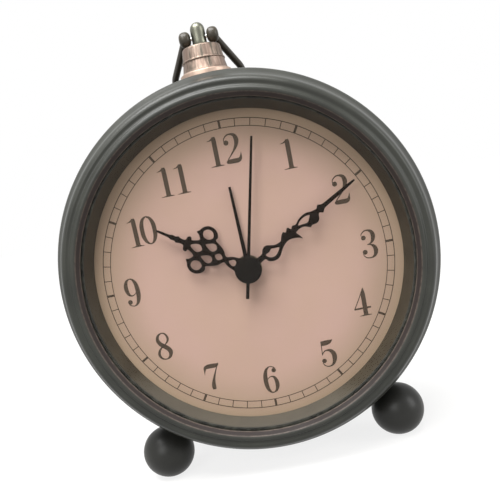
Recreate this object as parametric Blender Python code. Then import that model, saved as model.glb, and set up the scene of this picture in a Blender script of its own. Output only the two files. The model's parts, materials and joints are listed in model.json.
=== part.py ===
"""A round table clock with ball feet, a folding bow on top and a quartz alarm movement.

Metres, +Z up. The dial faces -Y. The origin is on the table, under the middle of the clock.
Depths called "back" are measured from the dial's face towards the rear of the clock.
"""
import math

import bmesh
import bpy
from mathutils import Matrix, Vector

TURN = 2.0 * math.pi

# Clearances shared by every piece
SEAT = 0.0003               # gap between pieces that rest on each other
RUN = 0.0004                # running gap round a turning piece
OVERRUN = 0.002             # how far every cutter passes the face it cuts
FACETS = 40                 # sides of the large turned pieces
MID_FACETS = 20             # sides of balls, collar, battery and buzzer
SMALL_FACETS = 16           # sides of posts, pegs and bobbins
FINE_FACETS = 12            # sides of screws, pins and pipes
CUT_FACETS = 8              # sides of wires
MERGE = 1e-7                # points closer than this are one
SHARP = math.radians(35.0)  # edges bent more than this stay crisp

# Bezel: pressed in sheet steel, with a sloping lip, a broad dome and a small roll at its widest edge
BEZEL_R = 0.0700
RIM_W = 0.0110              # from the opening to the bezel's widest edge
BEZEL_OVER = 0.0024         # how far the bezel stands out from the drum
BEZEL_OPENING_R = BEZEL_R - RIM_W
SHEET = 0.0007
LIP_RISE = 0.0015           # how far the dome stands in front of the lip's edge
CREST_IN = 0.0025           # from the opening to the dome's crest
CREST_ROUND = 0.0015        # rounding between the lip and the crest
CREST_START = math.radians(-145.0)  # where that rounding starts, from straight outwards
ROLL_WIDE = 0.0015          # half width and half depth of the roll
ROLL_DEEP = 0.0030
ROLL_BACK = 0.0010          # how far behind the dial's face the roll is widest
ROLL_START = math.radians(-143.0)   # where its curve starts and ends, from its widest point
ROLL_END = math.radians(40.0)
VALLEY_FRONT = 0.0014       # how far in front of the dial's face the dome ends
VALLEY_IN = 0.0028          # from the widest edge to the valley beside the roll

# Glass, its gasket and the sloping inner wall behind it
GLASS_T = 0.0016
GLASS_LAP = 0.0015          # how far the glass reaches behind the lip
GLASS_R = BEZEL_OPENING_R + GLASS_LAP
GASKET_T = 0.0006
WALL_RING_DEEP = 0.0050
WALL_RING_LEAN = 0.0024     # how far the wall closes in on its way to the dial
WALL_RING_FRONT_R = BEZEL_OPENING_R - SEAT
WALL_RING_BACK_R = WALL_RING_FRONT_R - WALL_RING_LEAN   # edge of the dial that can be seen
WALL_RING_R = GLASS_R + SHEET

# Dial
CARD_T = 0.0004
CARD_R = GLASS_R
PLATE_T = 0.0010

# Case drum: a steel band with a ledge for the dial and a turned-in rear lip
DRUM_R = BEZEL_R - BEZEL_OVER
DRUM_START = 0.0003         # how far behind the dial's face the band starts
DRUM_BACK = 0.0420
DRUM_LEDGE_W = 0.0064       # how far the ledge and the rear lip reach inwards
DRUM_LIP_W = 0.0091
DRUM_LEDGE_R = DRUM_R - DRUM_LEDGE_W
DRUM_LIP_R = DRUM_R - DRUM_LIP_W
DRUM_EDGE_R = 0.0030        # rounding of the rear edge

# Ball feet
BALL_R = 0.01015
FOOT_NECK_L = 0.00375       # length of the neck between the drum and the ball
BALL_AT = DRUM_R + FOOT_NECK_L + BALL_R     # distance from the dial's centre
BALL_ANGLE = math.radians(34.7)     # from straight down
BALL_BACK = 0.0100
BALL_FLAT_R = 0.0018
FOOT_NECK_R = 0.0036
STUD_R = 0.0015
STUD_INSIDE = 0.0055        # how far a stud reaches into the case
NUT_T = 0.0024
NUT_R = 0.0030

# Rear foot
REAR_FOOT_BACK = 0.0350
REAR_FOOT_R = 0.0046
REAR_FOOT_NECK_R = 0.0030
REAR_PAD_T = 0.0016

# Pendant on top: a turned collar, a domed post and the bow hinged through the post
PENDANT_BACK = 0.0140
PENDANT_SIDE = -0.0015      # it stands a little left of the middle
COLLAR_TOP_R = 0.0071
COLLAR_FOOT_R = 0.0096
COLLAR_H = 0.0136
COLLAR_FOOT_SHARE = 0.34    # height of the flared foot, as a share of the collar's
COLLAR_NECK_SHARE = 0.38    # where the lower tier starts
COLLAR_STEP_SHARE = 0.62    # where the ring between the tiers stands
POST_R = 0.00265
POST_H = 0.0089             # above the collar
PIVOT_H = 0.0037            # above the collar
PIN_R = 0.0007
PIN_HALF = 0.0062
KNUCKLE_R = 0.0022
WIRE_R = 0.00135
BOW_LEG = 0.0190
BOW_SPLAY = math.radians(23.0)
BOW_REST_GAP = 0.0006
KNUCKLE_STEPS = 8           # half round of a knuckle
KNUCKLE_END_SHARE = 1.05    # where the wire leaves its knuckle, in knuckle radii
BOW_ARC_STEPS = 7

# Hands, from the dial outwards
ALARM_HAND_SHORT = 0.0263   # how far each hand's tip ends inside the dial's visible edge
HOUR_HAND_SHORT = 0.0206
MINUTE_HAND_SHORT = 0.0075
SECOND_HAND_SHORT = 0.0098
ALARM_HAND_L = WALL_RING_BACK_R - ALARM_HAND_SHORT
HOUR_HAND_L = WALL_RING_BACK_R - HOUR_HAND_SHORT
MINUTE_HAND_L = WALL_RING_BACK_R - MINUTE_HAND_SHORT
SECOND_HAND_L = WALL_RING_BACK_R - SECOND_HAND_SHORT
SECOND_TAIL_L = 0.0105
HAND_T = 0.0004
SECOND_HAND_W = 0.0009
ALARM_HAND_W = 0.0012
HAND_TIP_SHARE = 0.6        # width of a plain hand at its tip, as a share of its root's
HAND_STEP = 0.0010          # from one hand's face to the next
ALARM_HAND_FRONT = 0.0012   # from the dial's face to the lowest hand
HUB_CAP_R = 0.00485
HUB_CAP_T = 0.0011
HUB_DOME_SHARES = ((0.55, 0.12), (0.88, 0.50))  # radius and depth of the cap's rounding
ALARM_HUB_R = 0.0043
HOUR_HUB_R = 0.0040
MINUTE_HUB_R = 0.0036
SECOND_HUB_R = 0.0026
ALARM_ANGLE = math.radians(358.5)   # clockwise from 12 at rest
HOUR_ANGLE = math.radians(304.2)
MINUTE_ANGLE = math.radians(60.9)
SECOND_ANGLE = math.radians(12.8)

# Pipes that carry the hands, one inside the other
ARBOR_R = 0.0005
PIPE_WALL = 0.0005
BUSH_WALL = 0.0009
PIPE_END = 0.0004           # how far a pipe passes its hand

# Movement housing
MOVE_HALF = 0.0280
MOVE_PLATE_T = 0.0012
MOVE_WALL = 0.0012
MOVE_DEEP = 0.0168
MOVE_CORNER = 0.0060
PIN_AXLE_R = 0.0006

# Wheels: tooth counts, modules and the angles at which their axles stand
WHEEL_T = 0.0008
WHEEL_STEP = 0.0016         # from one wheel plane to the next
FIRST_WHEEL_BACK = 0.0037
CANNON_TEETH, MOTION_TEETH = 8, 24
MOTION_PINION_TEETH, HOUR_TEETH = 8, 32
MOTION_MODULE = 0.00060
SECOND_PINION_TEETH, THIRD_TEETH = 6, 45
THIRD_PINION_TEETH, CENTRE_TEETH = 6, 48
TRAIN_MODULE = 0.00045
STEP_PINION_TEETH, SECOND_TEETH = 8, 48
STEP_MODULE = 0.00041
ROTOR_PINION_TEETH, STEP_TEETH = 8, 40
ROTOR_MODULE = 0.00044
ALARM_TEETH, ALARM_SETTER_TEETH = 30, 24
ALARM_MODULE = 0.00055
TIME_SETTER_TEETH = 8
MOTION_ANGLE = math.radians(-35.0)
TIME_SETTER_ANGLE = math.radians(-55.0)
ALARM_SETTER_ANGLE = math.radians(225.0)
THIRD_ANGLE = math.radians(120.0)
STEP_ANGLE = math.radians(40.0)
ROTOR_ANGLE = math.radians(10.0)
TIP_SHARE = 0.55            # tooth tip outside the pitch circle, in modules
ROOT_SHARE = 1.15           # tooth root inside the pitch circle, in modules

# Motor and electronics
ROTOR_R = 0.0026
ROTOR_T = 0.0016
STATOR_T = 0.0009
STATOR_HALF = 0.0046
STATOR_REACH = 0.0150
COIL_R = 0.0030
COIL_L = 0.0100
BOBBIN_R = 0.0038
BOBBIN_CHEEK_T = 0.0008
BOARD_T = 0.0010
BOARD_W, BOARD_H = 0.0180, 0.0110
BOARD_AT = (-0.0165, 0.0030)
CRYSTAL_R, CRYSTAL_L = 0.0010, 0.0060

# Back cover and what is on it
COVER_T = 0.0020
COVER_INSET = 0.0036        # how far the cover's edge stays inside the drum's
COVER_R = DRUM_R - COVER_INSET
COVER_STEP = 0.0008         # how far the middle stands behind the screwed ring
SKIRT_T = 0.0015
SKIRT_DEEP = 0.0030
SCREW_INSET = 0.0028
SCREW_AT = COVER_R - SCREW_INSET
COVER_SCREW_ANGLES = (90.0, 210.0, 330.0)
SCREW_R = 0.0011
SCREW_HEAD_R = 0.0022
SCREW_HEAD_T = 0.0012
SCREW_L = 0.0045
SCREW_SLOT_W = 0.0005
SCREW_SLOT_ANGLE = math.radians(30.0)

# Battery bay, for one AA cell
CELL_R = 0.00725
CELL_L = 0.0493
CELL_NUB_R = 0.0026
CELL_NUB_L = 0.0012
CELL_Z = 0.0240             # above the dial's centre
BAY_END_GAP = 0.0035        # room for a contact at each end
BAY_WALL = 0.0014
DOOR_T = 0.0016
DOOR_LAP = 0.0014           # how far the door is larger than the bay
GRIP_W, GRIP_H = 0.0100, 0.0010
GRIP_RAISE = 0.0020         # from the door's top edge down to its grip
CONTACT_T = 0.0004
CONTACT_HALF = 0.0050
SPRING_WIRE_R = 0.00030
SPRING_R = 0.0030
SPRING_TURNS = 2
SPRING_STEPS = 9            # points in one turn

# Knobs, switch and buzzer
SHAFT_R = 0.0014
KNOB_R = 0.0065
KNOB_T = 0.0046
KNOB_FLUTES = 12
KNOB_CAP_T = 0.0015         # what is left in front of the arbor's end
KNOB_FLUTE_SHARE = 0.90     # radius in a flute, as a share of the knob's
KNOB_LIFT = 0.0006
SWITCH_AT = (0.0300, -0.0300)
SWITCH_TRAVEL = 0.0040
SWITCH_NUB = (0.0044, 0.0026, 0.0016)
SWITCH_FLANGE_LAP = 0.0012
SWITCH_FLANGE_T = 0.0010
BUZZER_R = 0.0110
BUZZER_T = 0.0060
BUZZER_AT = (0.0, -0.0385)
SOUND_SLOTS = 5
SOUND_SLOT_W = 0.0016
SOUND_SLOT_STEP = 0.0034
SOUND_SLOT_L = 0.0140
LEAD_R = 0.0006
LEAD_END_AT = (0.0196, 0.0168)      # where a lead meets the movement
LEAD_BEND = 0.0030

# Depths that follow, each measured back from the dial's face
WALL_RING_FRONT = -(SEAT + WALL_RING_DEEP)
GASKET_FRONT = WALL_RING_FRONT - SEAT - GASKET_T
GLASS_BACK = GASKET_FRONT - SEAT
GLASS_FRONT = GLASS_BACK - GLASS_T
LIP_BACK = GLASS_FRONT - SEAT
LIP_FRONT = LIP_BACK - SHEET
BEZEL_FRONT = LIP_FRONT - LIP_RISE
PLATE_FRONT = CARD_T + SEAT
PLATE_BACK = PLATE_FRONT + PLATE_T
PLATE_R = DRUM_R - SHEET - SEAT
LEDGE_FRONT = PLATE_BACK + SEAT
MOVE_FRONT = PLATE_BACK + SEAT
CASE_FRONT = MOVE_FRONT + MOVE_PLATE_T + SEAT
MOVE_BACK = MOVE_FRONT + MOVE_DEEP
COVER_FRONT = DRUM_BACK + SEAT
COVER_RING_BACK = COVER_FRONT + COVER_T
COVER_INSIDE = COVER_FRONT + COVER_STEP
COVER_BACK = COVER_INSIDE + COVER_T
DOOR_FRONT = COVER_BACK - DOOR_T
CELL_AXIS = DOOR_FRONT - SEAT - CELL_R
BAY_FLOOR = CELL_AXIS - CELL_R - SEAT
KNOB_FRONT = COVER_BACK + KNOB_LIFT
KNOB_BACK = KNOB_FRONT + KNOB_T
ARBOR_BACK = KNOB_BACK - KNOB_CAP_T
CREST_AT = BEZEL_OPENING_R + CREST_IN
DOME_WIDE = BEZEL_R - VALLEY_IN - CREST_AT
DOME_DEEP = -VALLEY_FRONT - BEZEL_FRONT
ROLL_AT = BEZEL_R - ROLL_WIDE

# Heights that follow, each measured up from the dial's centre
COLLAR_FOOT = DRUM_R + SEAT
COLLAR_TOP = COLLAR_FOOT + COLLAR_H
PIVOT_UP = COLLAR_TOP + PIVOT_H
POST_TOP = COLLAR_TOP + POST_H
KNUCKLE_AT = POST_R + SEAT + KNUCKLE_R
BOW_ARC_R = (KNUCKLE_AT + BOW_LEG * math.sin(BOW_SPLAY)) / math.cos(BOW_SPLAY)
BOW_ARC_AT = BOW_LEG * math.cos(BOW_SPLAY) + BOW_ARC_R * math.sin(BOW_SPLAY)
BOW_LENGTH = BOW_ARC_AT + BOW_ARC_R
BOW_DROOP = math.atan2(PIVOT_UP - DRUM_R - WIRE_R - BOW_REST_GAP, DRUM_BACK - PENDANT_BACK)

# Where the dial's face and centre stand in the clock's own frame
BALL_RISE = math.sqrt(BALL_R ** 2 - BALL_FLAT_R ** 2)
CENTRE_Z = BALL_AT * math.cos(BALL_ANGLE) + BALL_RISE
BOW_BACK = PENDANT_BACK + BOW_LENGTH * math.cos(BOW_DROOP) + WIRE_R
REAR_MOST = max(KNOB_BACK, BOW_BACK)
FACE_Y = -(REAR_MOST + BEZEL_FRONT) / 2.0


def polar(radius, angle, start=(0.0, 0.0)):
    """The point a radius away from a start, at an angle from the right."""
    return (start[0] + radius * math.cos(angle), start[1] + radius * math.sin(angle))


def pitch(teeth, module):
    """Pitch radius of a wheel."""
    return teeth * module / 2.0


# Distances between axles and their places in the dial's plane (right, up)
MOTION_DISTANCE = pitch(CANNON_TEETH + MOTION_TEETH, MOTION_MODULE)
HOUR_MODULE = 2.0 * MOTION_DISTANCE / (MOTION_PINION_TEETH + HOUR_TEETH)
TRAIN_DISTANCE = pitch(SECOND_PINION_TEETH + THIRD_TEETH, TRAIN_MODULE)
CENTRE_MODULE = 2.0 * TRAIN_DISTANCE / (THIRD_PINION_TEETH + CENTRE_TEETH)
STEP_DISTANCE = pitch(STEP_PINION_TEETH + SECOND_TEETH, STEP_MODULE)
ROTOR_DISTANCE = pitch(ROTOR_PINION_TEETH + STEP_TEETH, ROTOR_MODULE)
SETTER_DISTANCE = pitch(TIME_SETTER_TEETH + MOTION_TEETH, MOTION_MODULE)
ALARM_DISTANCE = pitch(ALARM_TEETH + ALARM_SETTER_TEETH, ALARM_MODULE)
MOTION_AT = polar(MOTION_DISTANCE, MOTION_ANGLE)
TIME_AT = polar(SETTER_DISTANCE, TIME_SETTER_ANGLE, MOTION_AT)
ALARM_AT = polar(ALARM_DISTANCE, ALARM_SETTER_ANGLE)
THIRD_AT = polar(TRAIN_DISTANCE, THIRD_ANGLE)
STEP_AT = polar(STEP_DISTANCE, STEP_ANGLE)
ROTOR_AT = polar(ROTOR_DISTANCE, ROTOR_ANGLE, STEP_AT)

# Planes of the wheels, front faces
ALARM_PLANE, HOUR_PLANE, MOTION_PLANE, CENTRE_PLANE, THIRD_PLANE, SECOND_PLANE, STEP_PLANE, ROTOR_PLANE = (
    FIRST_WHEEL_BACK + WHEEL_STEP * k for k in range(8))

# Radii of the nested pipes
MINUTE_PIPE = (ARBOR_R + SEAT, ARBOR_R + SEAT + PIPE_WALL)
HOUR_PIPE = (MINUTE_PIPE[1] + SEAT, MINUTE_PIPE[1] + SEAT + PIPE_WALL)
ALARM_PIPE = (HOUR_PIPE[1] + SEAT, HOUR_PIPE[1] + SEAT + PIPE_WALL)
BUSH = (ALARM_PIPE[1] + SEAT, ALARM_PIPE[1] + SEAT + BUSH_WALL)

# Front faces of the hands, each further from the dial
ALARM_HAND_AT = -(ALARM_HAND_FRONT + HAND_T)
HOUR_HAND_AT = ALARM_HAND_AT - HAND_STEP
MINUTE_HAND_AT = HOUR_HAND_AT - HAND_STEP
SECOND_HAND_AT = MINUTE_HAND_AT - HAND_STEP
HUB_CAP_AT = SECOND_HAND_AT - SEAT - HUB_CAP_T


def clear_scene():
    """Remove every object that the file already holds."""
    for obj in list(bpy.data.objects):
        bpy.data.objects.remove(obj, do_unlink=True)


def material(name, colour, roughness, metallic=0.0, alpha=1.0):
    """A plain Principled material."""
    mat = bpy.data.materials.new(name)
    mat.use_nodes = True
    shader = mat.node_tree.nodes["Principled BSDF"]
    shader.inputs["Base Color"].default_value = (*colour, 1.0)
    shader.inputs["Roughness"].default_value = roughness
    shader.inputs["Metallic"].default_value = metallic
    shader.inputs["Alpha"].default_value = alpha
    mat.diffuse_color = (*colour, 1.0)
    return mat


def add_object(name, bm, look=None, place=(0.0, 0.0, 0.0), smooth=True):
    """Turn a bmesh into a named object with its own material."""
    bmesh.ops.remove_doubles(bm, verts=bm.verts[:], dist=MERGE)
    bmesh.ops.dissolve_degenerate(bm, dist=MERGE, edges=bm.edges[:])
    bmesh.ops.recalc_face_normals(bm, faces=bm.faces[:])
    mesh = bpy.data.meshes.new(name)
    bm.to_mesh(mesh)
    bm.free()
    if smooth:
        mesh.shade_smooth()
        mesh.set_sharp_from_angle(angle=SHARP)
    obj = bpy.data.objects.new(name, mesh)
    obj.location = place
    bpy.context.collection.objects.link(obj)
    if look is not None:
        mesh.materials.append(material(name + "_finish", *look))
    return obj


def in_clock(across, back, up):
    """A place in the clock's frame from one measured at the dial's centre."""
    return (across, FACE_Y + back, CENTRE_Z + up)


def boolean(obj, other, operation="DIFFERENCE"):
    """Cut or join another object, which is then only a guide."""
    other.hide_render = True
    other.display_type = "WIRE"
    step = obj.modifiers.new(operation.title(), "BOOLEAN")
    step.operation = operation
    step.solver = "EXACT"
    step.object = other
    return obj


def arc(centre, radii, start, end, count):
    """Points along an ellipse; 0 is outwards in radius, a quarter turn is towards the back."""
    angles = [start + (end - start) * k / (count - 1) for k in range(count)]
    return [(centre[0] + radii[0] * math.cos(a), centre[1] + radii[1] * math.sin(a)) for a in angles]


def turned(profile, sides, closed=True, axis="Y"):
    """Turn a profile of (radius, distance along the axis) points into a body."""
    bm = bmesh.new()
    if axis == "Y":
        points = [Vector((r, s, 0.0)) for r, s in profile]
        spin_axis = (0.0, 1.0, 0.0)
    else:
        points = [Vector((r, 0.0, s)) for r, s in profile]
        spin_axis = (0.0, 0.0, 1.0)
    verts = [bm.verts.new(p) for p in points]
    edges = [bm.edges.new(pair) for pair in zip(verts[:-1], verts[1:])]
    if closed:
        edges.append(bm.edges.new((verts[-1], verts[0])))
    bmesh.ops.spin(bm, geom=verts + edges, cent=(0.0, 0.0, 0.0), axis=spin_axis,
                   angle=TURN, steps=sides, use_duplicate=False)
    bmesh.ops.remove_doubles(bm, verts=bm.verts[:], dist=MERGE)
    return bm


def ring_profile(inner, outer, front, back):
    """Section of a plain ring."""
    return [(inner, front), (outer, front), (outer, back), (inner, back)]


def prism(outlines, front, back):
    """A flat plate between two depths, from (right, up) outlines; later outlines are holes."""
    bm = bmesh.new()
    for outline in outlines:
        verts = [bm.verts.new((x, front, z)) for x, z in outline]
        for k, vert in enumerate(verts):
            bm.edges.new((vert, verts[(k + 1) % len(verts)]))
    bmesh.ops.triangle_fill(bm, edges=bm.edges[:], use_beauty=True, use_dissolve=False)
    bmesh.ops.recalc_face_normals(bm, faces=bm.faces[:])
    grown = bmesh.ops.extrude_face_region(bm, geom=bm.faces[:])
    moved = [item for item in grown["geom"] if isinstance(item, bmesh.types.BMVert)]
    bmesh.ops.translate(bm, vec=(0.0, back - front, 0.0), verts=moved)
    return bm


def block(low, high):
    """A box between two corners."""
    bm = bmesh.new()
    bmesh.ops.create_cube(bm, size=1.0)
    size = [h - l for l, h in zip(low, high)]
    middle = [(h + l) / 2.0 for l, h in zip(low, high)]
    bmesh.ops.scale(bm, vec=size, verts=bm.verts[:])
    bmesh.ops.translate(bm, vec=middle, verts=bm.verts[:])
    return bm


def round_bar(radius, front, back, sides=SMALL_FACETS):
    """A plain round bar along the depth."""
    return turned([(0.0, front), (radius, front), (radius, back), (0.0, back)], sides, closed=False)


def circle(radius, count, centre=(0.0, 0.0)):
    """Points round a circle."""
    return [polar(radius, TURN * k / count, centre) for k in range(count)]


def join_bodies(first, second):
    """Put a second bmesh into the first as one more body of the same mesh."""
    mesh = bpy.data.meshes.new("part")
    second.to_mesh(mesh)
    second.free()
    first.from_mesh(mesh)
    bpy.data.meshes.remove(mesh)
    return first


def turn_about_depth(bm, angle):
    """Turn a body clockwise as seen from the front."""
    bmesh.ops.rotate(bm, cent=(0.0, 0.0, 0.0), matrix=Matrix.Rotation(angle, 3, "Y"), verts=bm.verts[:])
    return bm


# Finishes seen on the clock: colour, roughness, metallic
GREEN_BLACK = ((0.035, 0.042, 0.038), 0.42, 0.6)
BALL_BLACK = ((0.020, 0.021, 0.020), 0.38, 0.4)
BROWN_WALL = ((0.050, 0.042, 0.028), 0.5, 0.4)
COPPER = ((0.45, 0.28, 0.20), 0.32, 1.0)
PEWTER = ((0.22, 0.22, 0.18), 0.35, 1.0)
HAND_BROWN = ((0.012, 0.008, 0.006), 0.45, 0.3)
PAPER = ((0.56, 0.38, 0.32), 0.9, 0.0)
FIBRE = ((0.30, 0.22, 0.14), 0.8, 0.0)
GLASS = ((0.90, 0.95, 0.93), 0.05, 0.0, 0.2)
RUBBER = ((0.02, 0.02, 0.02), 0.8, 0.0)
BLACK_PLASTIC = ((0.015, 0.015, 0.016), 0.5, 0.0)
WHITE_PLASTIC = ((0.75, 0.75, 0.70), 0.4, 0.0)
BRASS = ((0.60, 0.45, 0.18), 0.3, 1.0)
STEEL = ((0.50, 0.50, 0.50), 0.3, 1.0)
WIRE_COPPER = ((0.65, 0.25, 0.12), 0.35, 1.0)
BOARD_GREEN = ((0.05, 0.20, 0.08), 0.5, 0.0)
CELL_BLUE = ((0.05, 0.10, 0.30), 0.35, 0.3)
CABLE_RED = ((0.45, 0.03, 0.02), 0.5, 0.0)


def bezel():
    """Pressed ring: its lip holds the glass, and its rear edge grips the drum."""
    quarter = TURN / 4.0
    crest = arc((CREST_AT, BEZEL_FRONT + CREST_ROUND), (CREST_ROUND, CREST_ROUND), CREST_START, -quarter, 4)
    dome_centre = (CREST_AT, -VALLEY_FRONT)
    dome = arc(dome_centre, (DOME_WIDE, DOME_DEEP), -quarter, 0.0, 7)
    roll_centre = (ROLL_AT, ROLL_BACK)
    roll = arc(roll_centre, (ROLL_WIDE, ROLL_DEEP), ROLL_START, 0.0, 7)
    roll += arc(roll_centre, (ROLL_WIDE, ROLL_DEEP), 0.0, ROLL_END, 3)[1:]
    grip_r = DRUM_R + SEAT
    tail = roll[-1][1] + SHEET
    outer = [(BEZEL_OPENING_R, LIP_FRONT)] + crest + dome[1:] + roll + [(grip_r + SHEET, tail)]
    roll_lining = arc(roll_centre, (ROLL_WIDE - SHEET, ROLL_DEEP - SHEET), ROLL_END, -quarter, 5)
    valley_back = (roll[0][0], roll[0][1] + SHEET)
    dome_lining = arc(dome_centre, (DOME_WIDE - SHEET, DOME_DEEP - SHEET), 0.0, -quarter, 6)[:-1]
    inner = [(grip_r, tail)] + roll_lining + [valley_back] + dome_lining
    inner += [(CREST_AT, LIP_BACK), (BEZEL_OPENING_R, LIP_BACK)]
    return add_object("bezel_ring", turned(outer + inner, FACETS), GREEN_BLACK, in_clock(0.0, 0.0, 0.0))


def glass():
    """Flat glass disc."""
    bm = round_bar(GLASS_R, GLASS_FRONT, GLASS_BACK, FACETS)
    return add_object("glass_lens", bm, GLASS, in_clock(0.0, 0.0, 0.0))


def gasket():
    """Thin black ring between the glass and the inner wall."""
    bm = turned(ring_profile(WALL_RING_FRONT_R, GLASS_R, GASKET_FRONT, GASKET_FRONT + GASKET_T), FACETS)
    return add_object("glass_gasket", bm, RUBBER, in_clock(0.0, 0.0, 0.0))


def inner_wall():
    """Sloping ring from the glass down to the dial."""
    profile = [(WALL_RING_FRONT_R, WALL_RING_FRONT), (WALL_RING_R, WALL_RING_FRONT),
               (WALL_RING_R, -SEAT), (WALL_RING_BACK_R, -SEAT)]
    return add_object("inner_wall_ring", turned(profile, FACETS), BROWN_WALL, in_clock(0.0, 0.0, 0.0))


def dial():
    """Printed card on a stiff plate, both bored for the movement's bush."""
    bore = BUSH[1] + SEAT
    card = turned(ring_profile(bore, CARD_R, 0.0, CARD_T), FACETS)
    add_object("dial_card", card, PAPER, in_clock(0.0, 0.0, 0.0))
    plate = turned(ring_profile(bore, PLATE_R, PLATE_FRONT, PLATE_BACK), FACETS)
    plate_obj = add_object("dial_plate", plate, FIBRE, in_clock(0.0, 0.0, 0.0))
    cut_movement_screw_holes(plate_obj)


def movement_screw_places():
    """Two opposite corners of the movement, inside its rounded outline."""
    reach = MOVE_HALF - MOVE_CORNER
    return [(reach, reach), (-reach, -reach)]


def cut_movement_screw_holes(obj):
    """Clearance holes for the two screws that hold the movement."""
    cutters = bmesh.new()
    for x, z in movement_screw_places():
        bar = round_bar(SCREW_R + SEAT, PLATE_FRONT - OVERRUN, MOVE_FRONT + MOVE_PLATE_T + OVERRUN)
        bmesh.ops.translate(bar, vec=(x, 0.0, z), verts=bar.verts[:])
        join_bodies(cutters, bar)
    boolean(obj, add_object(obj.name + "_screw_cutter", cutters, None, in_clock(0.0, 0.0, 0.0)))


def drum():
    """Steel band with a ledge under the dial plate and a rounded, turned-in rear lip."""
    inner = DRUM_R - SHEET
    edge_centre = (DRUM_R - DRUM_EDGE_R, DRUM_BACK - DRUM_EDGE_R)
    edge = arc(edge_centre, (DRUM_EDGE_R, DRUM_EDGE_R), 0.0, TURN / 4.0, 4)
    profile = [(inner, DRUM_START), (DRUM_R, DRUM_START)] + edge
    profile += [(DRUM_LIP_R, DRUM_BACK), (DRUM_LIP_R, DRUM_BACK - SHEET)]
    profile += [(DRUM_R - DRUM_EDGE_R, DRUM_BACK - SHEET), (inner, DRUM_BACK - DRUM_EDGE_R)]
    profile += [(inner, LEDGE_FRONT + SHEET), (DRUM_LEDGE_R, LEDGE_FRONT + SHEET)]
    profile += [(DRUM_LEDGE_R, LEDGE_FRONT), (inner, LEDGE_FRONT)]
    obj = add_object("case_drum", turned(profile, FACETS), GREEN_BLACK, in_clock(0.0, 0.0, 0.0))
    cutters = bmesh.new()
    for angle, side, back in stud_places():
        radius, low, high = STUD_R + SEAT, stud_start(), DRUM_R + OVERRUN
        bar = turned([(0.0, low), (radius, low), (radius, high), (0.0, high)], SMALL_FACETS,
                     closed=False, axis="Z")
        bmesh.ops.translate(bar, vec=(side, back, 0.0), verts=bar.verts[:])
        turn_about_depth(bar, angle)
        join_bodies(cutters, bar)
    boolean(obj, add_object("drum_stud_cutter", cutters, None, in_clock(0.0, 0.0, 0.0)))
    boolean(obj, cover_screw_cutter("drum_screw_cutter", SCREW_R + SEAT))
    return obj


def stud_places():
    """Angle clockwise from straight up, step to the side, and depth, of every stud through the drum."""
    half = TURN / 2.0
    return [(0.0, PENDANT_SIDE, PENDANT_BACK), (half - BALL_ANGLE, 0.0, BALL_BACK),
            (half + BALL_ANGLE, 0.0, BALL_BACK), (half, 0.0, REAR_FOOT_BACK)]


def cover_screw_cutter(name, radius):
    """Three bars where the screws of the back cover pass."""
    cutters = bmesh.new()
    for degrees in COVER_SCREW_ANGLES:
        x, z = polar(SCREW_AT, math.radians(degrees))
        bar = round_bar(radius, DRUM_BACK - SHEET - OVERRUN, COVER_BACK + OVERRUN)
        bmesh.ops.translate(bar, vec=(x, 0.0, z), verts=bar.verts[:])
        join_bodies(cutters, bar)
    return add_object(name, cutters, None, in_clock(0.0, 0.0, 0.0))


def stud_start():
    """Radius at which every stud ends inside the drum."""
    return DRUM_R - SHEET - STUD_INSIDE


def hex_nut(name, back, angle, side=0.0):
    """A hexagon nut on a stud, its outer face a seat's gap inside the drum wall."""
    face = DRUM_R - SHEET - SEAT - nut_sag()
    bm = turned(ring_profile(STUD_R + SEAT, NUT_R, face - NUT_T, face), 6, axis="Z")
    bmesh.ops.translate(bm, vec=(side, back, 0.0), verts=bm.verts[:])
    return add_object(name, turn_about_depth(bm, angle), STEEL, in_clock(0.0, 0.0, 0.0), smooth=False)


def ball_feet():
    """Two balls on short necks, each with a stud and a nut inside the drum."""
    neck_foot = DRUM_R + SEAT
    for name, angle in (("foot_left", TURN / 2.0 + BALL_ANGLE), ("foot_right", TURN / 2.0 - BALL_ANGLE)):
        neck_meets = math.asin(FOOT_NECK_R / BALL_R)
        ball = arc((0.0, BALL_AT), (BALL_R, BALL_R), -TURN / 4.0 + neck_meets, TURN / 4.0, 9)
        profile = [(0.0, stud_start()), (STUD_R, stud_start()), (STUD_R, neck_foot), (FOOT_NECK_R, neck_foot)]
        profile += ball[:-1] + [(0.0, BALL_AT + BALL_R)]
        bm = turned(profile, MID_FACETS, closed=False, axis="Z")
        bmesh.ops.translate(bm, vec=(0.0, BALL_BACK, 0.0), verts=bm.verts[:])
        turn_about_depth(bm, angle)
        obj = add_object(name, bm, BALL_BLACK, in_clock(0.0, 0.0, 0.0))
        below = block((-BEZEL_R, FACE_Y, -OVERRUN), (BEZEL_R, FACE_Y + DRUM_BACK, 0.0))
        boolean(obj, add_object(name + "_floor_cutter", below))
        hex_nut(name + "_nut", BALL_BACK, angle)


def nut_sag():
    """How far a flat nut stands off the curved wall at its corners, with the drum's own facets."""
    inner = DRUM_R - SHEET
    return inner - math.sqrt(inner ** 2 - NUT_R ** 2) + DRUM_R * (1.0 - math.cos(TURN / FACETS / 2.0))


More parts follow.
